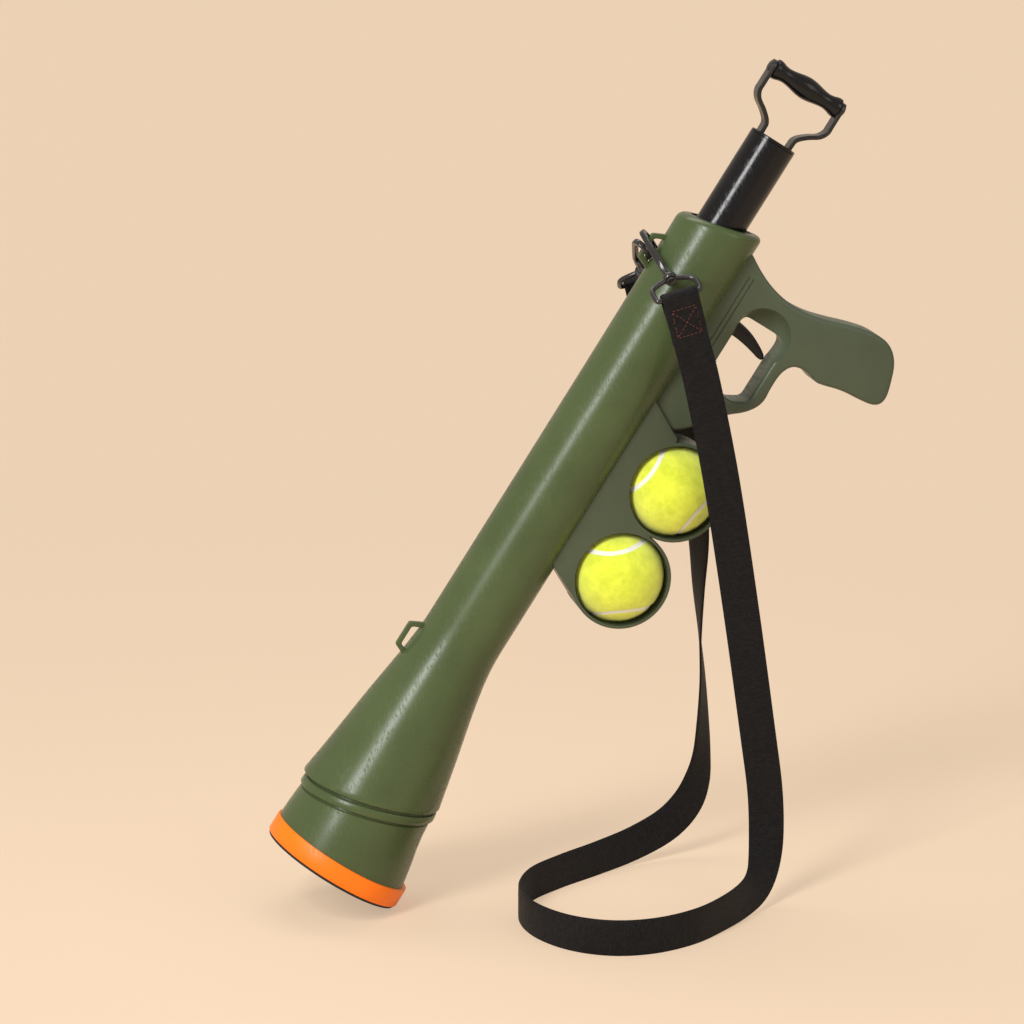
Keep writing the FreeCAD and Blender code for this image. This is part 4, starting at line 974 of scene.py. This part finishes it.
def felt_ball(name, station, turn, material):
    """A felt ball in its cup; one waist of its felt faces out, and turn is how far that is rolled, in degrees."""
    build = bmesh.new()
    bmesh.ops.create_icosphere(build, subdivisions=6, radius=1.0)
    near = seam_nearness([vert.co for vert in build.verts])
    for vert, value in zip(build.verts, near):
        vert.co *= (ball_radius - 0.45 * value) * 0.001
    ball = settled(build, name)
    marks = ball.attributes.new("seam", "FLOAT", "POINT")
    marks.data.foreach_set("value", near)
    middle = leaning @ Vector((station, 0.0, -cup_drop))
    waist = Vector((-0.18, -0.98, -0.01)).normalized()
    over = Matrix.Rotation(math.radians(turn), 3, -waist) @ Vector((0.0, 0.0, 1.0))
    over = (over - waist * over.dot(waist)).normalized()
    aside = over.cross(waist)
    way = Matrix(((over + aside) / math.sqrt(2), (over - aside) / math.sqrt(2), waist)).transposed().to_4x4()
    ball.transform(Matrix.Translation(middle) @ way)
    return fibres(ball, name, material)


yellow_felt = felt()
for name, station, turn, body, part in (
        ("front_felt_ball", cup_stations[0], -6.0, "front_ball", "spare_ball_front"),
        ("rear_felt_ball", cup_stations[1], -50.0, "rear_ball", "spare_ball_rear")):
    shown(name, felt_ball(name, station, turn, yellow_felt), yellow_felt, "felt", body, part)


# Snap hooks.
# Two die-cast zinc hooks with bright black plating hang from the rear eye. Each has a sprung gate and a neck
# that turns in a swivel ring, and the webbing is sewn round the ring's lower bar; only the near one's stitches are
# made.

plating = painted_steel("black_plating", (0.02, 0.019, 0.02), 0.18)
hook_frames = {
    "near": ((0.045991, -0.001, 0.460288), (-0.62452, -0.51024, 0.5913), (-0.759, 0.21805, -0.61349),
             (0.1841, -0.83193, -0.52345), (0.96735, 0.05899, 0.24646), (-0.17416, -0.55174, 0.81563)),
    "far": ((0.041909, 0.001, 0.453878), (-0.62452, 0.51024, 0.5913), (0.759, 0.21805, 0.61349),
            (0.1841, 0.83193, -0.52345), (0.96735, -0.05899, 0.24646), (0.17416, -0.55174, -0.81563)),
}


def hung(across, normal, down, place):
    """The move from a hook drawn level, hood at the origin and neck up z, to where it hangs."""
    move = Matrix((across, normal, down)).transposed().to_4x4()
    move.translation = place
    return move @ Matrix.Scale(0.001, 4)


def arc(radius, first, last, count=14):
    """Points on a circle about the hood's middle, in degrees."""
    return [(radius * math.cos(math.radians(first + (last - first) * k / count)),
             radius * math.sin(math.radians(first + (last - first) * k / count))) for k in range(count + 1)]


def hook_casting():
    """Hood, spine and foot in one rounded casting, with its neck and rivet head."""
    outline = [(-8.2, 3.0)] + arc(8.2, 180.0, 360.0)
    outline += [(8.0, 14.0), (7.6, 26.0), (5.2, 33.0), (2.8, 36.0), (-2.8, 36.0), (-5.0, 34.0), (-5.7, 29.6),
                (-3.4, 27.4), (3.6, 27.0), (4.5, 24.0)]
    outline += arc(4.6, 360.0, 180.0) + [(-4.9, 3.0), (-6.4, 3.8)]
    casting = moulded_plate(outline, 2.0, 0.9)
    casting = cut_away(casting, [block(-12.0, -1.0, -1.25, 1.25, 20.0, 33.8)])
    neck = spun([(0.0, 35.0), (2.6, 35.0), (2.9, 36.2), (2.2, 37.4), (2.2, 42.6), (3.4, 42.7), (3.6, 43.2),
                 (3.5, 44.0), (2.4, 44.5), (0.0, 44.6)], Matrix.Identity(4))
    return united([casting, neck])


def hook_tongue():
    """The sprung gate on its pin."""
    outline = [(-6.3, 3.9), (-3.7, 3.9), (-2.4, 8.0), (-1.8, 30.2), (-1.9, 32.6), (-3.4, 33.1), (-4.9, 32.6),
               (-5.0, 28.4), (-5.1, 8.0)]
    tongue = moulded_plate(rounded(outline, 1.0), 1.0, 0.35)
    pin = spun([(0.0, -1.95), (0.8, -1.95), (0.8, 1.95), (0.0, 1.95)],
               Matrix.Translation((-3.6, 0.0, 31.4)) @ upright)
    return united([tongue, pin])


def swivel_ring():
    """A barrel-shaped boss round the neck, and the flattened ring of round wire that the webbing passes through."""
    boss = spun([(2.3, 37.7), (4.1, 37.7), (4.75, 38.6), (4.9, 39.9), (4.75, 41.2), (4.1, 42.1), (2.3, 42.1),
                 (2.3, 37.7)], Matrix.Identity(4))
    wire = bpy.data.curves.new("ring_wire", "CURVE")
    wire.dimensions, wire.bevel_depth, wire.bevel_resolution, wire.resolution_u = "3D", 1.9, 5, 6
    line = wire.splines.new("NURBS")
    route = [(-3.6, 41.0), (-8.0, 42.2), (-15.4, 46.0), (-16.0, 52.0), (-15.6, 58.0), (-12.0, 58.1), (0.0, 58.0)]
    route += [(-across, down) for across, down in reversed(route[:-1])]
    line.points.add(len(route) - 1)
    for knot, (across, down) in zip(line.points, route):
        knot.co = (across, 0.0, down, 1.0)
    line.order_u = 3
    line.use_endpoint_u = True
    return united([boss, plain_mesh(bpy.data.objects.new("ring_wire", wire))])


for side, (place, across, normal, down, eye_across, eye_normal) in hook_frames.items():
    hook_move = hung(across, normal, down, place)
    eye_move = hung(eye_across, eye_normal, down, place)
    for name, mesh, move, body, part in (
            ("_hook_casting", hook_casting(), hook_move, side + "_snap", side + "_hook"),
            ("_hook_tongue", hook_tongue(), hook_move, side + "_snap_gate", side + "_gate"),
            ("_swivel_ring", swivel_ring(), eye_move, "barrel", side + "_eye")):
        mesh.transform(move)
        shown(side + name, mesh, plating, "black_zinc", body, part)
